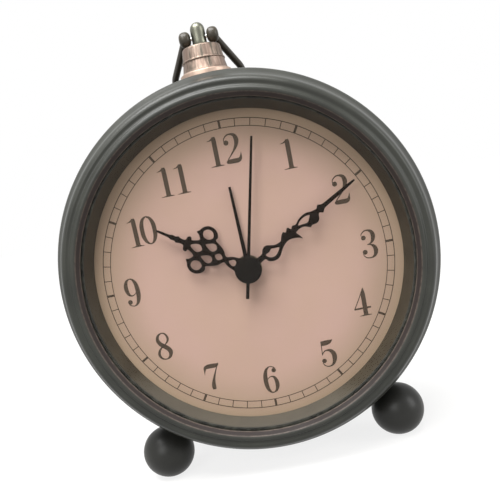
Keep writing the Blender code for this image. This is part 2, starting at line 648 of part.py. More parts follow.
def rear_foot():
    """Turned peg under the back of the drum, with a rubber pad that reaches the table."""
    length = CENTRE_Z - DRUM_R - SEAT
    neck_foot = DRUM_R + SEAT
    pad_top = CENTRE_Z - REAR_PAD_T
    profile = [(0.0, stud_start()), (STUD_R, stud_start()), (STUD_R, neck_foot),
               (REAR_FOOT_NECK_R, neck_foot), (REAR_FOOT_NECK_R, neck_foot + length / 3.0),
               (REAR_FOOT_R, pad_top - SEAT - REAR_PAD_T),
               (REAR_FOOT_R, pad_top - SEAT), (0.0, pad_top - SEAT)]
    bm = turned(profile, SMALL_FACETS, closed=False, axis="Z")
    bmesh.ops.translate(bm, vec=(0.0, REAR_FOOT_BACK, 0.0), verts=bm.verts[:])
    add_object("rear_foot", turn_about_depth(bm, TURN / 2.0), BALL_BLACK, in_clock(0.0, 0.0, 0.0))
    pad = turned([(0.0, pad_top), (REAR_FOOT_R, pad_top), (REAR_FOOT_R, CENTRE_Z), (0.0, CENTRE_Z)],
                 SMALL_FACETS, closed=False, axis="Z")
    bmesh.ops.translate(pad, vec=(0.0, REAR_FOOT_BACK, 0.0), verts=pad.verts[:])
    add_object("rear_foot_pad", turn_about_depth(pad, TURN / 2.0), RUBBER, in_clock(0.0, 0.0, 0.0))
    hex_nut("rear_foot_nut", REAR_FOOT_BACK, TURN / 2.0)


def pendant():
    """Collar in two tiers, the domed post through it, its nut and the hinge pin."""
    waist = (COLLAR_TOP_R + COLLAR_FOOT_R) / 2.0
    step = COLLAR_FOOT + COLLAR_H * COLLAR_STEP_SHARE
    round_off = SHEET / 2.0
    bore = STUD_R + SEAT
    profile = [(bore, COLLAR_FOOT), (COLLAR_FOOT_R, COLLAR_FOOT),
               (COLLAR_FOOT_R, COLLAR_FOOT + COLLAR_H * COLLAR_FOOT_SHARE),
               (waist, COLLAR_FOOT + COLLAR_H * COLLAR_NECK_SHARE), (waist - SHEET, step),
               (waist - round_off, step + round_off), (waist - SHEET, step + SHEET),
               (COLLAR_TOP_R, COLLAR_TOP - round_off), (COLLAR_TOP_R - round_off, COLLAR_TOP),
               (bore, COLLAR_TOP)]
    at = in_clock(PENDANT_SIDE, PENDANT_BACK, 0.0)
    add_object("pendant_collar", turned(profile, MID_FACETS, axis="Z"), COPPER, at)
    dome = arc((0.0, POST_TOP - POST_R), (POST_R, POST_R), 0.0, TURN / 4.0, 5)
    post = [(0.0, stud_start()), (STUD_R, stud_start()), (STUD_R, COLLAR_TOP + SEAT),
            (POST_R, COLLAR_TOP + SEAT)] + dome[:-1] + [(0.0, POST_TOP)]
    post_obj = add_object("pendant_post", turned(post, SMALL_FACETS, closed=False, axis="Z"), PEWTER, at)
    boolean(post_obj, pin_shape("post_pin_cutter", PIN_R + SEAT, POST_R + OVERRUN, None))
    hex_nut("pendant_nut", PENDANT_BACK, 0.0, PENDANT_SIDE)
    pin_shape("bow_pivot_pin", PIN_R, PIN_HALF, STEEL)


def pin_shape(name, radius, half, look):
    """A bar across the clock, on the bow's hinge axis."""
    bm = bmesh.new()
    bmesh.ops.create_cone(bm, cap_ends=True, segments=FINE_FACETS, radius1=radius, radius2=radius,
                          depth=2.0 * half)
    bmesh.ops.rotate(bm, cent=(0.0, 0.0, 0.0), matrix=Matrix.Rotation(TURN / 4.0, 3, "Y"), verts=bm.verts[:])
    return add_object(name, bm, look, in_clock(PENDANT_SIDE, PENDANT_BACK, PIVOT_UP))


def bow_path():
    """Points (across, along) and radii of the bow's wire, from one knuckle round to the other."""
    leg = Vector((math.sin(BOW_SPLAY), math.cos(BOW_SPLAY)))
    start = Vector((KNUCKLE_AT, 0.0))
    right = []
    for k in range(KNUCKLE_STEPS - 1):
        angle = TURN / 2.0 * (1.0 - k / KNUCKLE_STEPS)
        right.append((start + leg * KNUCKLE_R * math.cos(angle), KNUCKLE_R * math.sin(angle)))
    right.append((start + leg * KNUCKLE_R * KNUCKLE_END_SHARE, WIRE_R))
    right.append((start + leg * BOW_LEG, WIRE_R))
    for k in range(1, BOW_ARC_STEPS + 1):
        angle = -BOW_SPLAY + (TURN / 4.0 + BOW_SPLAY) * k / BOW_ARC_STEPS
        point = Vector((BOW_ARC_R * math.cos(angle), BOW_ARC_AT + BOW_ARC_R * math.sin(angle)))
        right.append((point, WIRE_R))
    left = [(Vector((-p.x, p.y)), radius) for p, radius in reversed(right[:-1])]
    return right + left


def bow():
    """Wire bow with ball ends, hinged on the pin and folded back over the drum."""
    path = bow_path()
    points = [Vector((p.x, p.y, 0.0)) for p, radius in path]
    bm = wire(points, [radius for p, radius in path], MID_FACETS // 2)
    obj = add_object("bow_handle", bm, BALL_BLACK, in_clock(PENDANT_SIDE, PENDANT_BACK, PIVOT_UP))
    obj.rotation_euler = (-BOW_DROOP, 0.0, 0.0)
    boolean(obj, pin_shape("bow_pin_cutter", PIN_R + SEAT, PIN_HALF + SEAT, None))
    return obj


def wire(points, radii, sides):
    """A round wire through points in space, with a radius at each; a radius of zero closes an end."""
    bm = bmesh.new()
    rings = []
    normal = (points[1] - points[0]).orthogonal().normalized()
    for k, (point, radius) in enumerate(zip(points, radii)):
        along = (points[min(k + 1, len(points) - 1)] - points[max(k - 1, 0)]).normalized()
        normal = (normal - along * normal.dot(along)).normalized()
        across = along.cross(normal)
        ring = []
        for j in range(sides):
            angle = TURN * j / sides
            ring.append(bm.verts.new(point + (normal * math.cos(angle) + across * math.sin(angle)) * radius))
        rings.append(ring)
    for first, second in zip(rings[:-1], rings[1:]):
        for j in range(sides):
            bm.faces.new((first[j], first[(j + 1) % sides], second[(j + 1) % sides], second[j]))
    for ring, radius in ((rings[0], radii[0]), (rings[-1], radii[-1])):
        if radius > MERGE:
            bm.faces.new(ring)
    return bm


# Outline of the minute hand, right and left edges from the hub outwards, as shares of its length
MINUTE_EDGE_SHARES = [
    (0.022, 0.060), (0.022, 0.143), (0.048, 0.155), (0.071, 0.183), (0.081, 0.218), (0.075, 0.247),
    (0.057, 0.275), (0.042, 0.300), (0.031, 0.330), (0.027, 0.360), (0.034, 0.390), (0.048, 0.415),
    (0.064, 0.437), (0.084, 0.452), (0.052, 0.449), (0.023, 0.442), (0.015, 0.462), (0.017, 0.495),
    (0.028, 0.518), (0.046, 0.536), (0.060, 0.548), (0.053, 0.566), (0.062, 0.590), (0.063, 0.615),
    (0.050, 0.635), (0.028, 0.648), (0.019, 0.664), (0.035, 0.685), (0.020, 0.708), (0.016, 0.740),
    (0.014, 0.850), (0.008, 0.985), (0.0, 1.0), (-0.008, 0.985), (-0.014, 0.850), (-0.016, 0.740),
    (-0.020, 0.708), (-0.034, 0.685), (-0.018, 0.664), (-0.020, 0.648), (-0.030, 0.615), (-0.043, 0.590),
    (-0.048, 0.555), (-0.042, 0.512), (-0.028, 0.478), (-0.036, 0.450), (-0.024, 0.430), (-0.050, 0.414),
    (-0.030, 0.384), (-0.045, 0.371), (-0.034, 0.347), (-0.016, 0.327), (-0.006, 0.315), (-0.007, 0.288),
    (-0.015, 0.262), (-0.033, 0.238), (-0.050, 0.215), (-0.052, 0.192), (-0.042, 0.170), (-0.022, 0.145),
    (-0.022, 0.060)]
MINUTE_LOOP_SHARES = [
    (0.000, 0.169), (0.028, 0.176), (0.048, 0.201), (0.050, 0.226), (0.042, 0.250), (0.022, 0.279),
    (0.004, 0.248), (-0.008, 0.227), (0.001, 0.202)]
MINUTE_EYE_SHARES = [
    (-0.010, 0.487), (0.002, 0.512), (0.013, 0.537), (0.016, 0.558), (0.000, 0.580), (-0.012, 0.596),
    (-0.022, 0.583), (-0.030, 0.553), (-0.026, 0.515)]

# Outline of the hour hand, right edge from the hub outwards, as shares of its length
HOUR_EDGE_SHARES = [
    (0.064, 0.090), (0.064, 0.150), (0.052, 0.205), (0.031, 0.257), (0.078, 0.300), (0.110, 0.350),
    (0.132, 0.400), (0.146, 0.414), (0.172, 0.404), (0.215, 0.425), (0.246, 0.475), (0.246, 0.535),
    (0.215, 0.580), (0.178, 0.600), (0.150, 0.622), (0.132, 0.595), (0.092, 0.566), (0.070, 0.590),
    (0.052, 0.640), (0.074, 0.650), (0.078, 0.672), (0.062, 0.690), (0.029, 0.700), (0.025, 0.745),
    (0.035, 0.778), (0.022, 0.800), (0.026, 0.838), (0.015, 0.868), (0.013, 0.960), (0.008, 0.995)]
HOUR_RING_SHARES = [
    (0.118, 0.510), (0.122, 0.480), (0.145, 0.452), (0.172, 0.450), (0.205, 0.470), (0.216, 0.505),
    (0.205, 0.540), (0.175, 0.560), (0.135, 0.548)]
HOUR_TEAR_SHARES = [
    (0.064, 0.494), (0.040, 0.462), (0.025, 0.425), (0.030, 0.392), (0.064, 0.372), (0.098, 0.392),
    (0.103, 0.425), (0.086, 0.462)]
HOUR_LOW_DIAMOND_SHARES = [(0.0, 0.284), (0.034, 0.325), (0.0, 0.366), (-0.034, 0.325)]
HOUR_HIGH_DIAMOND_SHARES = [(0.0, 0.506), (0.042, 0.556), (0.0, 0.632), (-0.042, 0.556)]
HOUR_BASE_TEAR_SHARES = [
    (0.0, 0.216), (-0.022, 0.190), (-0.033, 0.165), (-0.020, 0.140), (0.0, 0.136), (0.020, 0.140),
    (0.033, 0.165), (0.022, 0.190)]


def scaled(shares, length):
    """Turn shares of a hand's length into sizes."""
    return [(x * length, z * length) for x, z in shares]


def mirrored(points):
    """The same points on the other side of the hand."""
    return [(-x, z) for x, z in points]


def hub_outline(edge, hub_r):
    """Close an outline that starts and ends beside the hub with the hub's own round."""
    start = math.atan2(edge[-1][1], edge[-1][0])
    end = math.atan2(edge[0][1], edge[0][0]) + TURN
    return [polar(hub_r, start + (end - start) * k / FINE_FACETS) for k in range(1, FINE_FACETS)]


def hand(name, outlines, at, angle):
    """A flat stamped hand with a bored hub, turned to its place on the dial."""
    bm = prism(outlines, at, at + HAND_T)
    turn_about_depth(bm, angle)
    return add_object(name, bm, HAND_BROWN, in_clock(0.0, 0.0, 0.0), smooth=False)


def bar_outline(half_w, length, tail, hub_r):
    """A plain straight hand: tapering blade, round hub and an optional tail."""
    tip = half_w * HAND_TIP_SHARE
    root = math.sqrt(hub_r ** 2 - half_w ** 2)
    blade = [(half_w, root), (tip, length), (-tip, length), (-half_w, root)]
    if tail == 0.0:
        return blade + hub_outline(blade, hub_r)
    side = math.atan2(root, half_w)
    count = FINE_FACETS // 2
    left = [polar(hub_r, TURN / 2.0 - side + 2.0 * side * k / count) for k in range(1, count)]
    tail_end = [(-half_w, -root), (-half_w, -tail), (half_w, -tail), (half_w, -root)]
    return blade + left + tail_end + mirrored(reversed(left))


def hands():
    """Alarm, hour, minute and second hands with the hub cap on top."""
    alarm = bar_outline(ALARM_HAND_W / 2.0, ALARM_HAND_L, 0.0, ALARM_HUB_R)
    alarm_hole = circle(ALARM_PIPE[1] + SEAT, FINE_FACETS)
    hand("alarm_hand", [alarm, alarm_hole], ALARM_HAND_AT, ALARM_ANGLE)

    right = scaled(HOUR_EDGE_SHARES, HOUR_HAND_L)
    edge = right + mirrored(right)[::-1]
    holes = [scaled(HOUR_RING_SHARES, HOUR_HAND_L), scaled(HOUR_TEAR_SHARES, HOUR_HAND_L)]
    holes += [mirrored(loop) for loop in holes]
    holes += [scaled(shape, HOUR_HAND_L) for shape in
              (HOUR_LOW_DIAMOND_SHARES, HOUR_HIGH_DIAMOND_SHARES, HOUR_BASE_TEAR_SHARES)]
    holes.append(circle(HOUR_PIPE[1] + SEAT, FINE_FACETS))
    hand("hour_hand", [edge + hub_outline(edge, HOUR_HUB_R)] + holes, HOUR_HAND_AT, HOUR_ANGLE)

    edge = scaled(MINUTE_EDGE_SHARES, MINUTE_HAND_L)
    holes = [scaled(MINUTE_LOOP_SHARES, MINUTE_HAND_L), scaled(MINUTE_EYE_SHARES, MINUTE_HAND_L),
             circle(MINUTE_PIPE[1] + SEAT, FINE_FACETS)]
    hand("minute_hand", [edge + hub_outline(edge, MINUTE_HUB_R)] + holes, MINUTE_HAND_AT, MINUTE_ANGLE)

    second = bar_outline(SECOND_HAND_W / 2.0, SECOND_HAND_L, SECOND_TAIL_L, SECOND_HUB_R)
    hand("second_hand", [second, circle(ARBOR_R + SEAT, FINE_FACETS)], SECOND_HAND_AT, SECOND_ANGLE)
    dome = [(0.0, HUB_CAP_AT)]
    dome += [(HUB_CAP_R * wide, HUB_CAP_AT + HUB_CAP_T * deep) for wide, deep in HUB_DOME_SHARES]
    dome += [(HUB_CAP_R, HUB_CAP_AT + HUB_CAP_T), (0.0, HUB_CAP_AT + HUB_CAP_T)]
    add_object("hub_cap", turned(dome, MID_FACETS, closed=False), BLACK_PLASTIC, in_clock(0.0, 0.0, 0.0))


def tooth_outline(teeth, module, phase):
    """Zigzag teeth round a wheel; phase is the angle at which a tip stands."""
    pitch_r = pitch(teeth, module)
    tip = pitch_r + TIP_SHARE * module
    root = pitch_r - ROOT_SHARE * module
    half = TURN / teeth / 2.0
    return [polar(tip if k % 2 == 0 else root, phase + half * k) for k in range(2 * teeth)]


def meshing_phase(angle, teeth, phase, other_teeth):
    """Phase of a wheel that meshes with another along an angle, its gap facing the other's tooth."""
    past_tooth = (teeth * (angle - phase) / TURN) % 1.0
    return angle + TURN / 2.0 - TURN * (0.5 - past_tooth) / other_teeth


def geared(name, layers, look, at=(0.0, 0.0)):
    """A body of stacked round or toothed discs: (outline or radius, bore, front, back) each."""
    body = None
    place = in_clock(at[0], 0.0, at[1])
    for k, (shape, bore, front, back) in enumerate(layers):
        outline = shape if isinstance(shape, list) else circle(shape, FINE_FACETS)
        loops = [outline] if bore == 0.0 else [outline, circle(bore, FINE_FACETS)]
        bm = prism(loops, front, back)
        if body is None:
            body = add_object(name, bm, look, place, smooth=False)
        else:
            boolean(body, add_object("%s_layer_%d" % (name, k), bm, None, place, smooth=False), "UNION")
    return body


def going_train():
    """From the rotor to the second hand's arbor, and on to the centre wheel."""
    front_wall = MOVE_FRONT + MOVE_PLATE_T + SEAT
    back_wall = MOVE_BACK - MOVE_WALL - SEAT
    sink = WHEEL_T / 2.0
    third_small = tooth_outline(THIRD_PINION_TEETH, CENTRE_MODULE, THIRD_ANGLE + TURN / 2.0)
    centre = tooth_outline(CENTRE_TEETH, CENTRE_MODULE, THIRD_ANGLE + TURN / CENTRE_TEETH / 2.0)
    second_small = tooth_outline(SECOND_PINION_TEETH, TRAIN_MODULE, THIRD_ANGLE)
    third = tooth_outline(THIRD_TEETH, TRAIN_MODULE, THIRD_ANGLE + TURN / 2.0 + TURN / THIRD_TEETH / 2.0)
    step_small = tooth_outline(STEP_PINION_TEETH, STEP_MODULE, STEP_ANGLE + TURN / 2.0)
    second = tooth_outline(SECOND_TEETH, STEP_MODULE, STEP_ANGLE + TURN / SECOND_TEETH / 2.0)
    rotor_small = tooth_outline(ROTOR_PINION_TEETH, ROTOR_MODULE, ROTOR_ANGLE + TURN / 2.0)
    step = tooth_outline(STEP_TEETH, ROTOR_MODULE, ROTOR_ANGLE + TURN / STEP_TEETH / 2.0)

    geared("centre_wheel", [(centre, MINUTE_PIPE[1] + SEAT, CENTRE_PLANE, CENTRE_PLANE + WHEEL_T)], BRASS)
    geared("second_wheel", [
        (second, 0.0, SECOND_PLANE, SECOND_PLANE + WHEEL_T),
        (second_small, 0.0, THIRD_PLANE, SECOND_PLANE + sink),
        (ARBOR_R, 0.0, SECOND_HAND_AT - PIPE_END / 2.0, back_wall)], WHITE_PLASTIC)
    geared("third_wheel", [
        (third, 0.0, THIRD_PLANE, THIRD_PLANE + WHEEL_T),
        (third_small, 0.0, CENTRE_PLANE, THIRD_PLANE + sink),
        (PIN_AXLE_R, 0.0, front_wall, back_wall)], WHITE_PLASTIC, THIRD_AT)
    geared("step_wheel", [
        (step, 0.0, STEP_PLANE, STEP_PLANE + WHEEL_T),
        (step_small, 0.0, SECOND_PLANE, STEP_PLANE + sink),
        (PIN_AXLE_R, 0.0, front_wall, back_wall)], WHITE_PLASTIC, STEP_AT)
    geared("rotor", [
        (ROTOR_R, 0.0, ROTOR_PLANE, ROTOR_PLANE + ROTOR_T),
        (rotor_small, 0.0, STEP_PLANE, ROTOR_PLANE + sink),
        (PIN_AXLE_R, 0.0, front_wall, back_wall)], STEEL, ROTOR_AT)


def motion_work():
    """Cannon pinion, motion wheel and hour wheel, and the arbor that sets the time."""
    front_wall = MOVE_FRONT + MOVE_PLATE_T + SEAT
    sink = WHEEL_T / 2.0
    cannon = tooth_outline(CANNON_TEETH, MOTION_MODULE, MOTION_ANGLE)
    motion_phase = MOTION_ANGLE + TURN / 2.0 + TURN / MOTION_TEETH / 2.0
    motion = tooth_outline(MOTION_TEETH, MOTION_MODULE, motion_phase)
    small = tooth_outline(MOTION_PINION_TEETH, HOUR_MODULE, MOTION_ANGLE + TURN / 2.0)
    hour = tooth_outline(HOUR_TEETH, HOUR_MODULE, MOTION_ANGLE + TURN / HOUR_TEETH / 2.0)
    setter_phase = meshing_phase(TIME_SETTER_ANGLE, MOTION_TEETH, motion_phase, TIME_SETTER_TEETH)
    setter = tooth_outline(TIME_SETTER_TEETH, MOTION_MODULE, setter_phase)

    inner, outer = MINUTE_PIPE
    geared("cannon_pinion", [
        (cannon, inner, MOTION_PLANE, CENTRE_PLANE - SEAT),
        (outer, inner, MINUTE_HAND_AT - PIPE_END, CENTRE_PLANE + WHEEL_T)], BRASS)
    geared("hour_wheel", tube_layers(hour, HOUR_PIPE, HOUR_HAND_AT - PIPE_END, HOUR_PLANE), WHITE_PLASTIC)
    geared("motion_wheel", [
        (motion, 0.0, MOTION_PLANE, MOTION_PLANE + WHEEL_T),
        (small, 0.0, HOUR_PLANE, MOTION_PLANE + sink),
        (PIN_AXLE_R, 0.0, front_wall, MOTION_PLANE + sink)], WHITE_PLASTIC, MOTION_AT)
    geared("time_setting_arbor", [
        (setter, 0.0, MOTION_PLANE, MOTION_PLANE + WHEEL_T),
        (SHAFT_R, 0.0, front_wall, ARBOR_BACK)], STEEL, TIME_AT)


def alarm_work():
    """The wheel that carries the alarm hand, and the arbor that sets it."""
    front_wall = MOVE_FRONT + MOVE_PLATE_T + SEAT
    alarm = tooth_outline(ALARM_TEETH, ALARM_MODULE, ALARM_SETTER_ANGLE)
    setter_phase = ALARM_SETTER_ANGLE + TURN / 2.0 + TURN / ALARM_SETTER_TEETH / 2.0
    setter = tooth_outline(ALARM_SETTER_TEETH, ALARM_MODULE, setter_phase)
    geared("alarm_wheel", tube_layers(alarm, ALARM_PIPE, ALARM_HAND_AT - PIPE_END, ALARM_PLANE), BRASS)
    geared("alarm_setting_arbor", [
        (setter, 0.0, ALARM_PLANE, ALARM_PLANE + WHEEL_T),
        (SHAFT_R, 0.0, front_wall, ARBOR_BACK)], STEEL, ALARM_AT)


def tube_layers(outline, pipe, front, wheel):
    """A wheel on a pipe that runs forward to its hand."""
    inner, outer = pipe
    return [(outline, inner, wheel, wheel + WHEEL_T), (outer, inner, front, wheel + WHEEL_T / 2.0)]


def rounded_square(half, corner, steps=4):
    """Outline of a square with round corners."""
    points = []
    for quarter, (sx, sz) in enumerate(((1, 1), (-1, 1), (-1, -1), (1, -1))):
        centre = (sx * (half - corner), sz * (half - corner))
        points += [polar(corner, TURN / 4.0 * (quarter + k / steps), centre) for k in range(steps + 1)]
    return points


def movement_housing():
    """Front plate with the bush, rear case, their screws and the motor inside."""
    back_wall = MOVE_BACK - MOVE_WALL
    outline = rounded_square(MOVE_HALF, MOVE_CORNER)
    plate = prism([outline, circle(BUSH[0], MID_FACETS)], MOVE_FRONT, MOVE_FRONT + MOVE_PLATE_T)
    at = in_clock(0.0, 0.0, 0.0)
    plate_obj = add_object("movement_front_plate", plate, BLACK_PLASTIC, at, smooth=False)
    bush_profile = ring_profile(BUSH[0], BUSH[1], ALARM_HAND_AT / 2.0, MOVE_FRONT + MOVE_PLATE_T / 2.0)
    bush = turned(bush_profile, MID_FACETS)
    boolean(plate_obj, add_object("bush_shape", bush, None, at), "UNION")
    cut_movement_screw_holes(plate_obj)

    case = prism([outline], CASE_FRONT, MOVE_BACK)
    case_obj = add_object("movement_rear_case", case, BLACK_PLASTIC, at, smooth=False)
    inner = rounded_square(MOVE_HALF - MOVE_WALL, MOVE_CORNER - MOVE_WALL)
    hollow = prism([inner], CASE_FRONT - OVERRUN, back_wall)
    boolean(case_obj, add_object("case_hollow_cutter", hollow, None, at))
    bars = bmesh.new()
    for x, z in (TIME_AT, ALARM_AT):
        bar = round_bar(SHAFT_R + SEAT, back_wall - OVERRUN, MOVE_BACK + OVERRUN)
        bmesh.ops.translate(bar, vec=(x, 0.0, z), verts=bar.verts[:])
        join_bodies(bars, bar)
    boolean(case_obj, add_object("case_shaft_cutter", bars, None, at))

    seat = MOVE_FRONT + MOVE_PLATE_T + SEAT
    for name, place in zip(("movement_screw_1", "movement_screw_2"), movement_screw_places()):
        screw(name, PLATE_FRONT + SEAT, seat, place)


def screw(name, tip, seat, place):
    """A round-headed slotted screw along the depth, its head behind the seat."""
    head_back = seat + SCREW_HEAD_T
    profile = [(0.0, tip), (SCREW_R, tip), (SCREW_R, seat), (SCREW_HEAD_R, seat),
               (SCREW_HEAD_R, seat + SCREW_HEAD_T / 2.0), (SCREW_HEAD_R / 2.0, head_back),
               (0.0, head_back)]
    bm = turned(profile, FINE_FACETS, closed=False)
    obj = add_object(name, bm, STEEL, in_clock(place[0], 0.0, place[1]))
    half = SCREW_SLOT_W / 2.0
    slot = block((-SCREW_HEAD_R - OVERRUN, head_back - SCREW_HEAD_T / 3.0, -half),
                 (SCREW_HEAD_R + OVERRUN, head_back + OVERRUN, half))
    turn_about_depth(slot, SCREW_SLOT_ANGLE)
    boolean(obj, add_object(name + "_slot_cutter", slot, None, in_clock(place[0], 0.0, place[1])))
    return obj


def motor():
    """Stator, coil on its bobbin, circuit board and quartz crystal."""
    back_wall = MOVE_BACK - MOVE_WALL
    plane = ROTOR_PLANE
    x, z = ROTOR_AT
    hole = circle(ROTOR_R + RUN, SMALL_FACETS, (x, z))
    plate = [(x - STATOR_HALF, z - STATOR_HALF), (x + STATOR_HALF, z - STATOR_HALF),
             (x + STATOR_HALF, z + STATOR_REACH), (x - STATOR_HALF, z + STATOR_REACH)]
    stator = prism([plate, hole], plane, plane + STATOR_T)
    add_object("stator", stator, STEEL, in_clock(0.0, 0.0, 0.0), smooth=False)

    coil_at = in_clock(x, plane - SEAT - BOBBIN_R, z + STATOR_REACH - BOBBIN_R)
    half = COIL_L / 2.0
    cheek = half - BOBBIN_CHEEK_T
    core_r = BOBBIN_R / 2.0
    spool = [(0.0, -half), (BOBBIN_R, -half), (BOBBIN_R, -cheek), (core_r, -cheek),
             (core_r, cheek), (BOBBIN_R, cheek), (BOBBIN_R, half), (0.0, half)]
    bobbin = turned(spool, SMALL_FACETS, closed=False, axis="Z")
    winding = turned(ring_profile(core_r + SEAT, COIL_R, -cheek + SEAT, cheek - SEAT), SMALL_FACETS, axis="Z")
    for name, bm, look in (("coil_bobbin", bobbin, WHITE_PLASTIC), ("coil_winding", winding, WIRE_COPPER)):
        add_object(name, turn_about_depth(bm, TURN / 4.0), look, coil_at)

    board_back = back_wall - SEAT
    low = (BOARD_AT[0] - BOARD_W / 2.0, board_back - BOARD_T, BOARD_AT[1] - BOARD_H / 2.0)
    high = (BOARD_AT[0] + BOARD_W / 2.0, board_back, BOARD_AT[1] + BOARD_H / 2.0)
    add_object("circuit_board", block(low, high), BOARD_GREEN, in_clock(0.0, 0.0, 0.0), smooth=False)
    can = turned([(0.0, -CRYSTAL_L / 2.0), (CRYSTAL_R, -CRYSTAL_L / 2.0), (CRYSTAL_R, CRYSTAL_L / 2.0),
                  (0.0, CRYSTAL_L / 2.0)], FINE_FACETS, closed=False, axis="Z")
    add_object("quartz_crystal", turn_about_depth(can, TURN / 4.0), STEEL,
               in_clock(BOARD_AT[0], low[1] - SEAT - CRYSTAL_R, BOARD_AT[1]))


def bay_half_size():
    """Half length and half height of the battery bay's inside."""
    return (CELL_L + CELL_NUB_L) / 2.0 + BAY_END_GAP, CELL_R + RUN


def back_cover():
    """Dished plastic cover with the battery bay, holes for the arbors and slots for the sound."""
    skirt_r = DRUM_LIP_R - SEAT
    lip = COVER_T / 4.0
    profile = [(0.0, COVER_INSIDE), (skirt_r - SKIRT_T, COVER_INSIDE),
               (skirt_r - SKIRT_T, COVER_FRONT - SKIRT_DEEP), (skirt_r, COVER_FRONT - SKIRT_DEEP),
               (skirt_r, COVER_FRONT), (COVER_R, COVER_FRONT),
               (COVER_R, COVER_RING_BACK - lip), (COVER_R - lip, COVER_RING_BACK), (skirt_r, COVER_RING_BACK),
               (skirt_r - COVER_STEP, COVER_BACK), (0.0, COVER_BACK)]
    at = in_clock(0.0, 0.0, 0.0)
    obj = add_object("back_cover", turned(profile, FACETS, closed=False), BLACK_PLASTIC, at)
    long_half, tall_half = bay_half_size()
    outer = block((-long_half - BAY_WALL, BAY_FLOOR - BAY_WALL, CELL_Z - tall_half - BAY_WALL),
                  (long_half + BAY_WALL, COVER_BACK - COVER_T / 2.0, CELL_Z + tall_half + BAY_WALL))
    boolean(obj, add_object("bay_shape", outer, None, at), "UNION")
    inner = block((-long_half, BAY_FLOOR, CELL_Z - tall_half),
                  (long_half, COVER_BACK + OVERRUN, CELL_Z + tall_half))
    boolean(obj, add_object("bay_cutter", inner, None, at))
    lap = DOOR_LAP
    recess = block((-long_half - lap, DOOR_FRONT - SEAT, CELL_Z - tall_half - lap),
                   (long_half + lap, COVER_BACK + OVERRUN, CELL_Z + tall_half + lap))
    boolean(obj, add_object("door_recess_cutter", recess, None, at))
    boolean(obj, cover_screw_cutter("cover_screw_cutter", SCREW_R + SEAT))
    holes = bmesh.new()
    front, back = COVER_INSIDE - OVERRUN, COVER_BACK + OVERRUN
    for x, z in (TIME_AT, ALARM_AT):
        bar = round_bar(SHAFT_R + RUN, front, back)
        bmesh.ops.translate(bar, vec=(x, 0.0, z), verts=bar.verts[:])
        join_bodies(holes, bar)
    for k in range(SOUND_SLOTS):
        middle = BUZZER_AT[1] + SOUND_SLOT_STEP * (k - (SOUND_SLOTS - 1) / 2.0)
        join_bodies(holes, block((BUZZER_AT[0] - SOUND_SLOT_L / 2.0, front, middle - SOUND_SLOT_W / 2.0),
                                 (BUZZER_AT[0] + SOUND_SLOT_L / 2.0, back, middle + SOUND_SLOT_W / 2.0)))
    nub_w, nub_h = SWITCH_NUB[:2]
    x, z = SWITCH_AT
    join_bodies(holes, block((x - nub_w / 2.0 - RUN, front, z - nub_h / 2.0 - RUN),
                             (x + nub_w / 2.0 + SWITCH_TRAVEL + RUN, back, z + nub_h / 2.0 + RUN)))
    boolean(obj, add_object("cover_hole_cutter", holes, None, at))
    for k, degrees in enumerate(COVER_SCREW_ANGLES):
        place = polar(SCREW_AT, math.radians(degrees))
        screw("cover_screw_%d" % (k + 1), COVER_RING_BACK + SEAT - SCREW_L, COVER_RING_BACK + SEAT, place)


